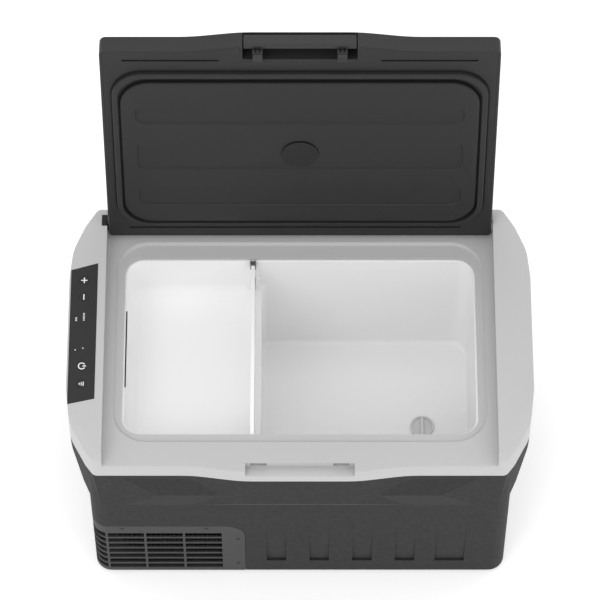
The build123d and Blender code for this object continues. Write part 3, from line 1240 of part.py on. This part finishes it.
# ---------------------------------------------------------------- write the files
def build_parts():
    """All sub-parts by node name, in the opened pose."""
    fixed = {
        "outer_shell": outer_shell(),
        "base_pan": base_pan(),
        "top_frame": top_frame(),
        "hinge_bearing": hinge_bearing(),
        "liner": liner(),
        "foam_insulation": foam_insulation(),
        "control_panel": control_panel(),
        "control_board": control_board(),
        "vent_grille": vent_grille(),
        "grille_screws": grille_screws(),
        "rear_vent": rear_vent(),
        "dc_socket": dc_socket(),
        "socket_pins": socket_pins(),
        "feet": feet(),
        "foot_screws": foot_screws(),
        "drain_tube": drain_tube(),
        "drain_plug": drain_plug(),
        "drain_seal": drain_seal(),
        "sensor_cover": sensor_cover(),
        "interior_lamp": interior_lamp(),
        "divider_panel": divider_panel(),
        "divider_clip": divider_clip(),
        "base_plate": base_plate(),
        "compressor": compressor(),
        "compressor_mounts": compressor_mounts(),
        "compressor_bolts": compressor_bolts(),
        "terminal_cover": terminal_cover(),
        "fan_shroud": fan_shroud(),
        "fan_axle": fan_axle(),
        "fan_rotor": fan_rotor(),
        "condenser_tube": condenser_tube(),
        "condenser_fins": condenser_fins(),
        "evaporator_plate": evaporator_plate(),
        "evaporator_coil": evaporator_coil(),
        "filter_drier": filter_drier(),
        "capillary_tube": capillary_tube(),
        "discharge_tube": discharge_tube(),
        "suction_tube": suction_tube(),
        "controller_case": controller_case(),
        "controller_bracket": controller_bracket(),
    }
    for name, y in zip(KEY_NAMES, KEY_Y):
        fixed["key_" + name] = key_cap(y)
    swung = {
        "lid_shell": lid_shell(),
        "lid_inner_panel": lid_inner_panel(),
        "lid_gasket": lid_gasket(),
        "lid_foam": lid_foam(),
        "foam_port_cap": foam_port_cap(),
        "hinge_pin_right": hinge_pin_right(),
        "hinge_pin_left": hinge_pin_left(),
        "hinge_spring": hinge_spring(),
        "latch_bar": latch_bar(),
        "latch_hooks": latch_hooks(),
        "latch_pin": latch_pin(),
    }
    for name, shape in swung.items():
        solids = shape if isinstance(shape, list) else [shape]
        fixed[name] = [lid_open(solid) for solid in solids]
    return fixed


def main():
    os.makedirs("parts", exist_ok=True)
    for name, shape in build_parts().items():
        solids = shape if isinstance(shape, list) else [shape]
        pieces = [solid for item in solids for solid in item.solids()]
        body = pieces[0] if len(pieces) == 1 else Compound(children=pieces)
        export_step(body, f"parts/{name}.step")


if __name__ == "__main__":
    main()
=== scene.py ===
"""Compressor cooler fridge: finishes, small printed details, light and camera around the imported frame."""

import logging
import math
from dataclasses import dataclass, field
from enum import Enum
from typing import Dict, List, Sequence, Tuple

import bmesh
import bpy
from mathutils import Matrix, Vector

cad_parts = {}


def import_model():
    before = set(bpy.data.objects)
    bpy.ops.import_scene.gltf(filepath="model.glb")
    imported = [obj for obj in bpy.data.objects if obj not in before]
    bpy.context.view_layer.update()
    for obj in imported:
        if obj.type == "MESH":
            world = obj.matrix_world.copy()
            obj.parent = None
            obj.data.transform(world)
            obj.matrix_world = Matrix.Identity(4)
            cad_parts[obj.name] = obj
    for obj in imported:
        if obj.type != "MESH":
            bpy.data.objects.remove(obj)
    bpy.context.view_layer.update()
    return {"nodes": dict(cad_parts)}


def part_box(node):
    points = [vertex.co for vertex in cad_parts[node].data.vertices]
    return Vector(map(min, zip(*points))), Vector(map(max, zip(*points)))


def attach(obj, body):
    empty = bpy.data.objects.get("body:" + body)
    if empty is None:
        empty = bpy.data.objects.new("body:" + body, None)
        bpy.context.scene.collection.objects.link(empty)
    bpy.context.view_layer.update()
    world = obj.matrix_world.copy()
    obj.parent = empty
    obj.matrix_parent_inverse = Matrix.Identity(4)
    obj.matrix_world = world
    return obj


LOG = logging.getLogger("cooler")
MM = 0.001
Colour = Tuple[float, float, float]
Point = Tuple[float, float]
BRUSH_STRETCH = (0.04, 1.0, 1.0)
THREAD_STRETCHES = ((1.0, 1.0, 0.22), (0.22, 0.22, 1.0))


class Grain(Enum):
    """Surface textures that moulds and mills leave."""

    SPARK = "spark"
    FABRIC = "fabric"
    BRUSHED = "brushed"


class Section(Enum):
    """Which printed icon a key carries."""

    PLUS = "plus"
    MINUS = "minus"
    POWER = "power"
    MODE = "mode"


# ---------------------------------------------------------------- node tools
class Graph:
    """A thin wrapper that adds and wires shader nodes."""

    def __init__(self, tree: bpy.types.NodeTree) -> None:
        """Wrap a node tree.

        Args:
            tree: the material's or the group's tree.
        """
        self.tree = tree
        self.column = 0

    def add(self, kind: str, **values: object) -> bpy.types.Node:
        """Add a node and set its properties and inputs.

        Args:
            kind: the node's type name.
            values: attributes of the node, or its input sockets by name.

        Returns:
            The new node.
        """
        node = self.tree.nodes.new(kind)
        node.location = (self.column * 180, 0)
        self.column += 1
        for name, value in values.items():
            if hasattr(node, name):
                setattr(node, name, value)
            else:
                node.inputs[name.replace("_", " ")].default_value = value
        return node

    def wire(self, source: bpy.types.NodeSocket, target: bpy.types.NodeSocket) -> None:
        """Connect two sockets."""
        self.tree.links.new(source, target)

    def ramp(self, source: bpy.types.NodeSocket, low: float, high: float) -> bpy.types.NodeSocket:
        """Stretch a value between two limits to 0..1.

        Args:
            source: the value.
            low: what becomes 0.
            high: what becomes 1.

        Returns:
            The stretched value's socket.
        """
        node = self.add("ShaderNodeMapRange")
        node.inputs["From Min"].default_value = low
        node.inputs["From Max"].default_value = high
        self.wire(source, node.inputs["Value"])
        return node.outputs["Result"]


class EffectLibrary:
    """Node groups for effects that several finishes share, each built once."""

    def __init__(self) -> None:
        """Build every group."""
        self.tone = self._tone_drift()
        self.spark = self._spark_grain()
        self.fabric = self._fabric_grain()
        # painted highlight on convex edges
        self.painted_edge_highlight = self._edge_light()

    @staticmethod
    def _group(name: str, inputs: Sequence[Tuple[str, str, object]],
               outputs: Sequence[Tuple[str, str]]) -> Tuple[bpy.types.NodeTree, Graph]:
        """Make an empty group with named sockets.

        Args:
            name: the group's name.
            inputs: socket name, socket type and default of each input.
            outputs: socket name and socket type of each output.

        Returns:
            The group's tree and its wrapper.
        """
        tree = bpy.data.node_groups.new(name, "ShaderNodeTree")
        for label, kind, default in inputs:
            socket = tree.interface.new_socket(label, in_out="INPUT", socket_type=kind)
            if default is not None:
                socket.default_value = default
        for label, kind in outputs:
            tree.interface.new_socket(label, in_out="OUTPUT", socket_type=kind)
        return tree, Graph(tree)

    def _tone_drift(self) -> bpy.types.NodeTree:
        """Slow drift of a moulding's colour and gloss over its surface."""
        tree, g = self._group(
            "tone_drift",
            (("Vector", "NodeSocketVector", None), ("Colour", "NodeSocketColor", (0.5, 0.5, 0.5, 1)),
             ("Amount", "NodeSocketFloat", 0.05), ("Scale", "NodeSocketFloat", 8.0),
             ("Roughness", "NodeSocketFloat", 0.5)),
            (("Colour", "NodeSocketColor"), ("Roughness", "NodeSocketFloat")),
        )
        source = g.add("NodeGroupInput")
        noise = g.add("ShaderNodeTexNoise", Detail=3.0, Roughness=0.6)
        g.wire(source.outputs["Vector"], noise.inputs["Vector"])
        g.wire(source.outputs["Scale"], noise.inputs["Scale"])
        centred = g.add("ShaderNodeMath", operation="SUBTRACT")
        g.wire(noise.outputs["Fac"], centred.inputs[0])
        centred.inputs[1].default_value = 0.5
        amount = g.add("ShaderNodeMath", operation="MULTIPLY")
        g.wire(centred.outputs[0], amount.inputs[0])
        g.wire(source.outputs["Amount"], amount.inputs[1])
        value = g.add("ShaderNodeMath", operation="ADD")
        g.wire(amount.outputs[0], value.inputs[0])
        value.inputs[1].default_value = 1.0
        tint = g.add("ShaderNodeVectorMath", operation="SCALE")
        g.wire(source.outputs["Colour"], tint.inputs[0])
        g.wire(value.outputs[0], tint.inputs["Scale"])
        rough = g.add("ShaderNodeMath", operation="MULTIPLY")
        g.wire(source.outputs["Roughness"], rough.inputs[0])
        g.wire(value.outputs[0], rough.inputs[1])
        sink = g.add("NodeGroupOutput")
        g.wire(tint.outputs[0], sink.inputs["Colour"])
        g.wire(rough.outputs[0], sink.inputs["Roughness"])
        return tree

    def _spark_grain(self) -> bpy.types.NodeTree:
        """Fine spark-eroded texture, as a height."""
        tree, g = self._group(
            "spark_grain",
            (("Vector", "NodeSocketVector", None), ("Scale", "NodeSocketFloat", 900.0)),
            (("Height", "NodeSocketFloat"),),
        )
        source = g.add("NodeGroupInput")
        noise = g.add("ShaderNodeTexNoise", Detail=4.0, Roughness=0.65)
        g.wire(source.outputs["Vector"], noise.inputs["Vector"])
        g.wire(source.outputs["Scale"], noise.inputs["Scale"])
        sink = g.add("NodeGroupOutput")
        g.wire(noise.outputs["Fac"], sink.inputs["Height"])
        return tree

    def _fabric_grain(self) -> bpy.types.NodeTree:
        """Woven-looking mould texture: short crossed threads, and a mask of the raised threads for their
        painted highlight.
        """
        tree, g = self._group(
            "fabric_grain",
            (("Vector", "NodeSocketVector", None), ("Thread", "NodeSocketFloat", 520.0)),
            (("Height", "NodeSocketFloat"), ("ThreadHighlight", "NodeSocketFloat")),
        )
        source = g.add("NodeGroupInput")
        heights = []
        for stretch in THREAD_STRETCHES:
            mapping = g.add("ShaderNodeVectorMath", operation="MULTIPLY")
            mapping.inputs[1].default_value = stretch
            g.wire(source.outputs["Vector"], mapping.inputs[0])
            noise = g.add("ShaderNodeTexNoise", Detail=2.0, Roughness=0.5)
            g.wire(mapping.outputs[0], noise.inputs["Vector"])
            g.wire(source.outputs["Thread"], noise.inputs["Scale"])
            heights.append(noise.outputs["Fac"])
        crossed = g.add("ShaderNodeMath", operation="MAXIMUM")
        g.wire(heights[0], crossed.inputs[0])
        g.wire(heights[1], crossed.inputs[1])
        blotch = g.add("ShaderNodeTexNoise", Scale=140.0, Detail=3.0)
        g.wire(source.outputs["Vector"], blotch.inputs["Vector"])
        thread_highlight = g.add("ShaderNodeMath", operation="MULTIPLY")
        g.wire(crossed.outputs[0], thread_highlight.inputs[0])
        g.wire(blotch.outputs["Fac"], thread_highlight.inputs[1])
        sink = g.add("NodeGroupOutput")
        g.wire(crossed.outputs[0], sink.inputs["Height"])
        g.wire(thread_highlight.outputs[0], sink.inputs["ThreadHighlight"])
        return tree

    def _edge_light(self) -> bpy.types.NodeTree:
        """Painted highlight: convex edges made slightly lighter by their pointiness, as if they caught the
        light.
        """
        tree, g = self._group(
            "edge_light",
            (("Colour", "NodeSocketColor", (0.5, 0.5, 0.5, 1)), ("Amount", "NodeSocketFloat", 0.2)),
            (("Colour", "NodeSocketColor"), ("Mask", "NodeSocketFloat")),
        )
        source = g.add("NodeGroupInput")
        geometry = g.add("ShaderNodeNewGeometry")
        mask = g.ramp(geometry.outputs["Pointiness"], 0.515, 0.62)
        amount = g.add("ShaderNodeMath", operation="MULTIPLY")
        g.wire(mask, amount.inputs[0])
        g.wire(source.outputs["Amount"], amount.inputs[1])
        lift = g.add("ShaderNodeMath", operation="ADD")
        g.wire(amount.outputs[0], lift.inputs[0])
        lift.inputs[1].default_value = 1.0
        tint = g.add("ShaderNodeVectorMath", operation="SCALE")
        g.wire(source.outputs["Colour"], tint.inputs[0])
        g.wire(lift.outputs[0], tint.inputs["Scale"])
        sink = g.add("NodeGroupOutput")
        g.wire(tint.outputs[0], sink.inputs["Colour"])
        g.wire(amount.outputs[0], sink.inputs["Mask"])
        return tree


@dataclass(frozen=True)
class Finish:
    """One material of the cooler: its colour, gloss and texture."""

    name: str
    colour: Colour
    roughness: float
    grain: Grain = Grain.SPARK
    grain_size: float = 900.0
    grain_depth: float = 0.00004
    drift: float = 0.08
    # strength of the painted edge highlight
    edge: float = 0.15
    metallic: float = 0.0
    coat: float = 0.0
    coat_roughness: float = 0.12
    specular: float = 0.5
    # strength of the painted highlight and shade on the raised threads
    thread_highlight: float = 0.0
    sheen: float = 0.0
    glow: float = 0.0

    def build(self, effects: EffectLibrary) -> bpy.types.Material:
        """Make the node material.

        Args:
            effects: the shared node groups.

        Returns:
            The finished material.
        """
        material = bpy.data.materials.new(self.name)
        material.use_nodes = True
        g = Graph(material.node_tree)
        shader = material.node_tree.nodes["Principled BSDF"]
        shader.inputs["Metallic"].default_value = self.metallic
        shader.inputs["Coat Weight"].default_value = self.coat
        shader.inputs["Coat Roughness"].default_value = self.coat_roughness
        shader.inputs["Specular IOR Level"].default_value = self.specular
        shader.inputs["Sheen Weight"].default_value = self.sheen
        place = g.add("ShaderNodeTexCoord").outputs["Object"]
        tone = self._group_node(g, effects.tone)
        tone.inputs["Colour"].default_value = (*self.colour, 1.0)
        tone.inputs["Amount"].default_value = self.drift
        tone.inputs["Roughness"].default_value = self.roughness
        g.wire(place, tone.inputs["Vector"])
        # painted highlight: convex edges are lightened by the edge_light group
        painted_edge_highlight = self._group_node(g, effects.painted_edge_highlight)
        painted_edge_highlight.inputs["Amount"].default_value = self.edge
        g.wire(tone.outputs["Colour"], painted_edge_highlight.inputs["Colour"])
        colour = painted_edge_highlight.outputs["Colour"]
        height = self._texture(g, effects, place)
        # painted highlight on the raised threads and painted shade between them
        if self.thread_highlight and self.grain is Grain.FABRIC:
            colour = self._add_thread_highlight(g, colour, height.node.outputs["ThreadHighlight"])
        g.wire(colour, shader.inputs["Base Color"])
        g.wire(tone.outputs["Roughness"], shader.inputs["Roughness"])
        bump = g.add("ShaderNodeBump", Strength=1.0, Distance=self.grain_depth)
        g.wire(height, bump.inputs["Height"])
        g.wire(bump.outputs["Normal"], shader.inputs["Normal"])
        # emission: an evenly bright studio floor, and a painted glow on the panel print
        if self.glow:
            shader.inputs["Emission Strength"].default_value = self.glow
            g.wire(colour, shader.inputs["Emission Color"])
        return material

    @staticmethod
    def _group_node(g: Graph, tree: bpy.types.NodeTree) -> bpy.types.Node:
        """Place a shared group in a material."""
        node = g.add("ShaderNodeGroup")
        node.node_tree = tree
        return node

    def _texture(self, g: Graph, effects: EffectLibrary,
                 place: bpy.types.NodeSocket) -> bpy.types.NodeSocket:
        """Add this finish's grain.

        Args:
            g: the material's graph.
            effects: the shared node groups.
            place: the position that the grain follows.

        Returns:
            The height socket.
        """
        if self.grain is Grain.FABRIC:
            node = self._group_node(g, effects.fabric)
            node.inputs["Thread"].default_value = self.grain_size
            g.wire(place, node.inputs["Vector"])
            return node.outputs["Height"]
        node = self._group_node(g, effects.spark)
        node.inputs["Scale"].default_value = self.grain_size
        if self.grain is Grain.BRUSHED:
            stretch = g.add("ShaderNodeVectorMath", operation="MULTIPLY")
            stretch.inputs[1].default_value = BRUSH_STRETCH
            g.wire(place, stretch.inputs[0])
            place = stretch.outputs[0]
        g.wire(place, node.inputs["Vector"])
        return node.outputs["Height"]

    def _add_thread_highlight(self, g: Graph, colour: bpy.types.NodeSocket,
                  thread_highlight: bpy.types.NodeSocket) -> bpy.types.NodeSocket:
        """Painted highlight and shade: lighten the threads that stand up and darken the rest, as light
        falling across the weave would.

        Args:
            g: the material's graph.
            colour: the colour so far.
            thread_highlight: mask of the raised threads.

        Returns:
            The new colour socket.
        """
        level = g.ramp(thread_highlight, 0.18, 0.42)
        factor = g.add("ShaderNodeMath", operation="MULTIPLY_ADD")
        g.wire(level, factor.inputs[0])
        factor.inputs[1].default_value = self.thread_highlight
        factor.inputs[2].default_value = 1.0 - self.thread_highlight * 0.4
        tint = g.add("ShaderNodeVectorMath", operation="SCALE")
        g.wire(colour, tint.inputs[0])
        g.wire(factor.outputs[0], tint.inputs["Scale"])
        return tint.outputs[0]


def grey(level: float) -> Colour:
    """A neutral colour.

    Args:
        level: linear brightness, 0 to 1.

    Returns:
        The colour.
    """
    return (level, level, level)


# The shell's raised threads carry a painted highlight, and the hollows between them a painted shade.
SHELL = Finish("shell_charcoal_texture", grey(0.020), 0.80, Grain.FABRIC, 1250.0, 0.00008, 0.06, 0.08,
               specular=0.30, thread_highlight=0.45, sheen=0.03)
FRAME = Finish("frame_light_grey", grey(0.50), 0.50, Grain.SPARK, 1300.0, 0.00001, 0.02, 0.04,
               specular=0.30)
LINER = Finish("liner_white", grey(0.92), 0.44, Grain.SPARK, 900.0, 0.00001, 0.015, 0.02, specular=0.35)
LID = Finish("lid_charcoal", grey(0.027), 0.58, Grain.SPARK, 1500.0, 0.00002, 0.05, 0.18, specular=0.30)
LID_INNER = Finish("lid_inner_charcoal", grey(0.016), 0.52, Grain.SPARK, 1500.0, 0.00002, 0.05,
                   0.22, specular=0.35)
GRILLE = Finish("grille_grey", grey(0.037), 0.58, Grain.SPARK, 1200.0, 0.00003, 0.06, 0.10, specular=0.35)
PANEL = Finish("panel_black", grey(0.010), 0.42, Grain.SPARK, 1800.0, 0.000005, 0.05, 0.05,
               coat=0.05, specular=0.30)
GASKET = Finish("gasket_dark", grey(0.020), 0.62, Grain.SPARK, 1100.0, 0.00002, 0.08, 0.10, specular=0.35)
LATCH = Finish("latch_charcoal", grey(0.021), 0.50, Grain.SPARK, 1400.0, 0.00002, 0.05, 0.22, specular=0.40)
BLACK = Finish("black_moulding", grey(0.009), 0.55, Grain.SPARK, 1200.0, 0.00002, 0.10, 0.12, specular=0.35)
BAY = Finish("bay_black", grey(0.006), 0.65, Grain.SPARK, 1200.0, 0.00002, 0.10, 0.10, specular=0.20)
DIVIDER = Finish("divider_white", grey(0.94), 0.46, Grain.SPARK, 1000.0, 0.00001, 0.015, 0.02,
                 specular=0.35)
BUNG = Finish("bung_grey", grey(0.66), 0.44, Grain.SPARK, 1000.0, 0.00001, 0.02, 0.05, specular=0.35)
CLIP = Finish("clip_grey", grey(0.08), 0.5, Grain.SPARK, 1200.0, 0.00002, 0.08, 0.2)
RUBBER = Finish("rubber_black", grey(0.018), 0.82, Grain.SPARK, 700.0, 0.00006, 0.15, 0.2, specular=0.3)
SCREW = Finish("screw_black_oxide", grey(0.03), 0.42, Grain.SPARK, 900.0, 0.00001, 0.15, 0.4, metallic=0.8)
STEEL = Finish("brushed_steel", grey(0.50), 0.34, Grain.BRUSHED, 900.0, 0.00002, 0.12, 0.2, metallic=1.0)
TRAY = Finish("tray_dark_steel", grey(0.06), 0.5, Grain.BRUSHED, 900.0, 0.00002, 0.12, 0.1, metallic=0.6)
COPPER = Finish("copper_tube", (0.55, 0.26, 0.14), 0.38, Grain.SPARK, 500.0, 0.00001, 0.25, 0.2,
                metallic=1.0)
# Painted shade: the condenser is near-black so the slots of the grille read as shaded inside.
COIL = Finish("condenser_painted_shade", grey(0.012), 0.5, Grain.BRUSHED, 700.0, 0.00001, 0.10, 0.1,
              specular=0.25)
ALUMINIUM = Finish("aluminium", grey(0.62), 0.4, Grain.BRUSHED, 700.0, 0.00001, 0.10, 0.1, metallic=1.0)
CAN = Finish("can_black_paint", grey(0.015), 0.28, Grain.SPARK, 260.0, 0.00005, 0.12, 0.25, coat=0.4)
BOARD = Finish("board_green", (0.02, 0.13, 0.05), 0.4, Grain.SPARK, 500.0, 0.00004, 0.20, 0.2)
FOAM = Finish("foam_cream", (0.78, 0.70, 0.50), 0.9, Grain.SPARK, 260.0, 0.0002, 0.12, 0.1)
LENS = Finish("lamp_lens", grey(0.80), 0.3, Grain.SPARK, 600.0, 0.00002, 0.03, 0.02, coat=0.3)
# The print, lamp dots included, carries a faint painted glow that lifts it above its lit colour.
PRINT = Finish("panel_print", grey(0.80), 0.5, Grain.SPARK, 1500.0, 0.000002, 0.04, 0.0, glow=0.1)
FLOOR = Finish("studio_floor", (0.92, 0.92, 0.92), 0.9, Grain.SPARK, 60.0, 0.00001, 0.01, 0.0,
               specular=0.1, glow=0.35)

NODE_FINISH: Dict[Finish, Tuple[str, ...]] = {
    SHELL: ("outer_shell", "base_pan"),
    FRAME: ("top_frame",),
    LINER: ("liner",),
    LID: ("lid_shell",),
    LID_INNER: ("lid_inner_panel",),
    GRILLE: ("vent_grille", "rear_vent"),
    PANEL: ("control_panel", "key_plus", "key_minus", "key_power", "key_mode"),
    GASKET: ("lid_gasket",),
    LATCH: ("latch_bar", "latch_hooks"),
    BLACK: ("foam_port_cap", "hinge_pin_left", "hinge_bearing", "sensor_cover", "dc_socket"),
    BAY: ("terminal_cover", "fan_shroud", "fan_rotor"),
    DIVIDER: ("divider_panel",),
    BUNG: ("drain_plug", "drain_tube"),
    CLIP: ("divider_clip",),
    RUBBER: ("feet", "compressor_mounts", "drain_seal"),
    SCREW: ("grille_screws", "latch_pin"),
    STEEL: ("socket_pins", "foot_screws", "compressor_bolts", "fan_axle", "hinge_pin_right",
            "hinge_spring"),
    TRAY: ("base_plate", "controller_bracket"),
    COPPER: ("evaporator_coil", "filter_drier", "capillary_tube", "discharge_tube", "suction_tube"),
    COIL: ("condenser_tube", "condenser_fins"),
    ALUMINIUM: ("evaporator_plate", "controller_case"),
    CAN: ("compressor",),
    BOARD: ("control_board",),
    FOAM: ("foam_insulation", "lid_foam"),
    LENS: ("interior_lamp",),
}


class Paintshop:
    """Builds each finish once and puts it on pieces."""

    def __init__(self) -> None:
        """Start with the shared effects and no materials."""
        self.effects = EffectLibrary()
        self.made: Dict[Finish, bpy.types.Material] = {}

    def material(self, finish: Finish) -> bpy.types.Material:
        """Give the finish's material, building it on first use."""
        if finish not in self.made:
            self.made[finish] = finish.build(self.effects)
        return self.made[finish]

    def dress(self, piece: bpy.types.Object, finish: Finish) -> None:
        """Put a finish on every material slot of a piece.

        Args:
            piece: a mesh object.
            finish: what to put on it.
        """
        material = self.material(finish)
        if not piece.material_slots:
            piece.data.materials.append(material)
        for slot in piece.material_slots:
            slot.material = material

    def dress_frame(self, nodes: Dict[str, bpy.types.Object]) -> None:
        """Give every CAD node its finish.

        Args:
            nodes: the frame's objects by name.
        """
        for finish, names in NODE_FINISH.items():
            for name in names:
                self.dress(nodes[name], finish)
                LOG.info("dressed %s with %s", name, finish.name)


# ---------------------------------------------------------------- printed icons
def icon_plate(name: str, outlines: Sequence[Sequence[Point]], centre: Vector,
               thickness: float) -> bpy.types.Object:
    """Make thin raised prints from flat outlines.

    Args:
        name: the piece's name.
        outlines: closed outlines, in metres about the centre.
        centre: where the icon lies, at its underside.
        thickness: height of the print.

    Returns:
        The new mesh object.
    """
    mesh = bpy.data.meshes.new(name)
    bm = bmesh.new()
    for outline in outlines:
        low = [bm.verts.new((centre.x + x, centre.y + y, centre.z)) for x, y in outline]
        high = [bm.verts.new((centre.x + x, centre.y + y, centre.z + thickness)) for x, y in outline]
        bm.faces.new(high)
        bm.faces.new(list(reversed(low)))
        for i in range(len(outline)):
            j = (i + 1) % len(outline)
            bm.faces.new((low[i], low[j], high[j], high[i]))
    bmesh.ops.recalc_face_normals(bm, faces=bm.faces)
    bm.to_mesh(mesh)
    bm.free()
    piece = bpy.data.objects.new(name, mesh)
    bpy.context.scene.collection.objects.link(piece)
    return piece


def bar(width: float, height: float, x: float = 0.0, y: float = 0.0) -> List[Point]:
    """A rectangle outline about a point."""
    return [(x - width / 2, y - height / 2), (x + width / 2, y - height / 2),
            (x + width / 2, y + height / 2), (x - width / 2, y + height / 2)]


def disc(radius: float, x: float = 0.0, y: float = 0.0, steps: int = 20) -> List[Point]:
    """A round outline about a point."""
    turns = [2 * math.pi * i / steps for i in range(steps)]
    return [(x + radius * math.cos(t), y + radius * math.sin(t)) for t in turns]


def arc_band(radius: float, width: float, start: float, end: float, steps: int = 28) -> List[Point]:
    """A curved stroke's outline.

    Args:
        radius: middle radius.
        width: stroke width.
        start: first angle in degrees.
        end: last angle in degrees.
        steps: segments along the stroke.

    Returns:
        The closed outline.
    """
    turns = [math.radians(start + (end - start) * i / steps) for i in range(steps + 1)]
    outer = [((radius + width / 2) * math.cos(t), (radius + width / 2) * math.sin(t)) for t in turns]
    inner = [((radius - width / 2) * math.cos(t), (radius - width / 2) * math.sin(t))
             for t in reversed(turns)]
    return outer + inner


@dataclass
class ControlPrint:
    """The generic icons printed on the control panel's keys and face."""

    stroke: float = 1.3 * MM
    reach: float = 8.0 * MM
    ring: float = 4.2 * MM
    ring_gap: float = 32.0
    thickness: float = 0.12 * MM
    lamp: float = 0.8 * MM
    lift: float = 0.01 * MM
    legend_near: float = 0.8 * MM
    legend_far: float = -8.8 * MM
    legend_step: float = 1.9 * MM
    legend_width: float = 2.2 * MM
    legend_stroke: float = 0.9 * MM
    pieces: List[bpy.types.Object] = field(default_factory=list)

    def outlines(self, icon: Section) -> List[List[Point]]:
        """Outlines of one key's icon.

        Args:
            icon: which icon.

        Returns:
            Its closed outlines.
        """
        half = (self.reach - self.stroke) / 2
        if icon is Section.PLUS:
            arm = self.stroke / 2 + half / 2
            return [bar(self.reach, self.stroke), bar(self.stroke, half, 0, arm),
                    bar(self.stroke, half, 0, -arm)]
        if icon is Section.MINUS:
            return [bar(self.stroke, self.reach)]
        if icon is Section.POWER:
            ring = arc_band(self.ring, self.stroke, self.ring_gap, 360.0 - self.ring_gap)
            return [ring, bar(self.ring * 1.1, self.stroke, self.ring * 0.75, 0)]
        steps = (-1, 0, 1)
        return [bar(self.stroke * 0.8, self.reach * (0.55 + 0.2 * i), i * self.stroke * 1.9, 0)
                for i in steps]

    def build(self, shop: Paintshop) -> None:
        """Print every icon and lamp.

        Args:
            shop: gives the print its material.
        """
        for icon in Section:
            low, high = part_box("key_" + icon.value)
            centre = Vector(((low.x + high.x) / 2, (low.y + high.y) / 2, high.z + self.lift))
            piece = icon_plate("print_" + icon.value, self.outlines(icon), centre, self.thickness)
            self._finish(piece, shop, "key_" + icon.value)
        self._legends(shop)

    def _legends(self, shop: Paintshop) -> None:
        """Print the two small legends as plain bars, and the two lamp dots, between the keys."""
        panel_low, panel_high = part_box("control_panel")
        level = panel_high.z + self.lift
        minus_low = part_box("key_minus")[0]
        power_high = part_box("key_power")[1]
        middle = (minus_low.y + power_high.y) / 2
        centre = Vector(((panel_low.x + panel_high.x) / 2, middle, level))
        marks: List[List[Point]] = []
        for x, y, count in ((self.legend_near, 22.0, 6), (self.legend_far, 18.5, 3)):
            for i in range(count):
                along = (y - count) * MM + i * self.legend_step
                marks.append(bar(self.legend_width, self.legend_stroke, x, along))
        marks += [disc(self.lamp, self.legend_near, -24.0 * MM),
                  disc(self.lamp, self.legend_far, -26.5 * MM)]
        piece = icon_plate("print_legends", marks, centre, self.thickness)
        self._finish(piece, shop, "cabinet")

    def _finish(self, piece: bpy.types.Object, shop: Paintshop, body: str) -> None:
        """Dress a print and let it ride on its body."""
        shop.dress(piece, PRINT)
        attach(piece, body)
        self.pieces.append(piece)
        LOG.info("printed %s", piece.name)


# ---------------------------------------------------------------- studio
@dataclass
class Studio:
    """Pale floor, soft lamps and the camera."""

    camera_place: Tuple[float, float, float] = (0.0, -2.3108, 4.5859)
    camera_target: Tuple[float, float, float] = (0.0, 0.0588, 0.311)
    lens: float = 231.0
    sensor: float = 36.0
    floor_half: float = 6.0
    world_strength: float = 0.8
    clip_end: float = 50.0
    lamp_target: Tuple[float, float, float] = (0.0, 0.0, 0.25)

    def build(self, shop: Paintshop) -> None:
        """Make the floor, the world, the lamps and the camera."""
        self._floor(shop)
        self._world()
        self._lamps()
        self._camera()

    def _floor(self, shop: Paintshop) -> None:
        """A large pale floor under the cooler."""
        mesh = bpy.data.meshes.new("studio_floor")
        half = self.floor_half
        corners = [(-half, -half, 0), (half, -half, 0), (half, half, 0), (-half, half, 0)]
        mesh.from_pydata(corners, [], [(0, 1, 2, 3)])
        floor = bpy.data.objects.new("studio_floor", mesh)
        bpy.context.scene.collection.objects.link(floor)
        shop.dress(floor, FLOOR)

    def _world(self) -> None:
        """Even, nearly white surroundings."""
        world = bpy.data.worlds.new("studio")
        world.use_nodes = True
        background = world.node_tree.nodes["Background"]
        background.inputs["Color"].default_value = (1.0, 1.0, 1.0, 1.0)
        background.inputs["Strength"].default_value = self.world_strength
        bpy.context.scene.world = world

    def _lamps(self) -> None:
        """One large key over the front left, a wide fill on the right and a top light behind."""
        lamps = (
            ("key_softbox", (-1.6, -2.2, 3.2), 2.2, 34.0),
            ("fill_softbox", (2.4, -1.6, 2.6), 2.4, 16.0),
            ("top_softbox", (0.2, 1.6, 3.4), 2.6, 24.0),
        )
        for name, place, size, power in lamps:
            data = bpy.data.lights.new(name, "AREA")
            data.shape = "SQUARE"
            data.size = size
            data.energy = power
            lamp = bpy.data.objects.new(name, data)
            bpy.context.scene.collection.objects.link(lamp)
            lamp.location = place
            aim = Vector(self.lamp_target) - Vector(place)
            lamp.rotation_euler = aim.to_track_quat("-Z", "Y").to_euler()

    def _camera(self) -> None:
        """The long lens, looking down at the open cooler."""
        data = bpy.data.cameras.new("camera")
        data.lens = self.lens
        data.sensor_width = self.sensor
        data.clip_end = self.clip_end
        camera = bpy.data.objects.new("camera", data)
        bpy.context.scene.collection.objects.link(camera)
        camera.location = self.camera_place
        aim = Vector(self.camera_target) - Vector(self.camera_place)
        camera.rotation_euler = aim.to_track_quat("-Z", "Y").to_euler()
        bpy.context.scene.camera = camera


def main() -> None:
    """Load the frame, dress it, add the prints and set up the studio."""
    logging.basicConfig(level=logging.INFO, format="%(name)s: %(message)s")
    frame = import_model()
    bpy.context.scene.view_settings.view_transform = "Standard"
    shop = Paintshop()
    Studio().build(shop)
    shop.dress_frame(frame["nodes"])
    ControlPrint().build(shop)


if __name__ == "__main__":
    main()
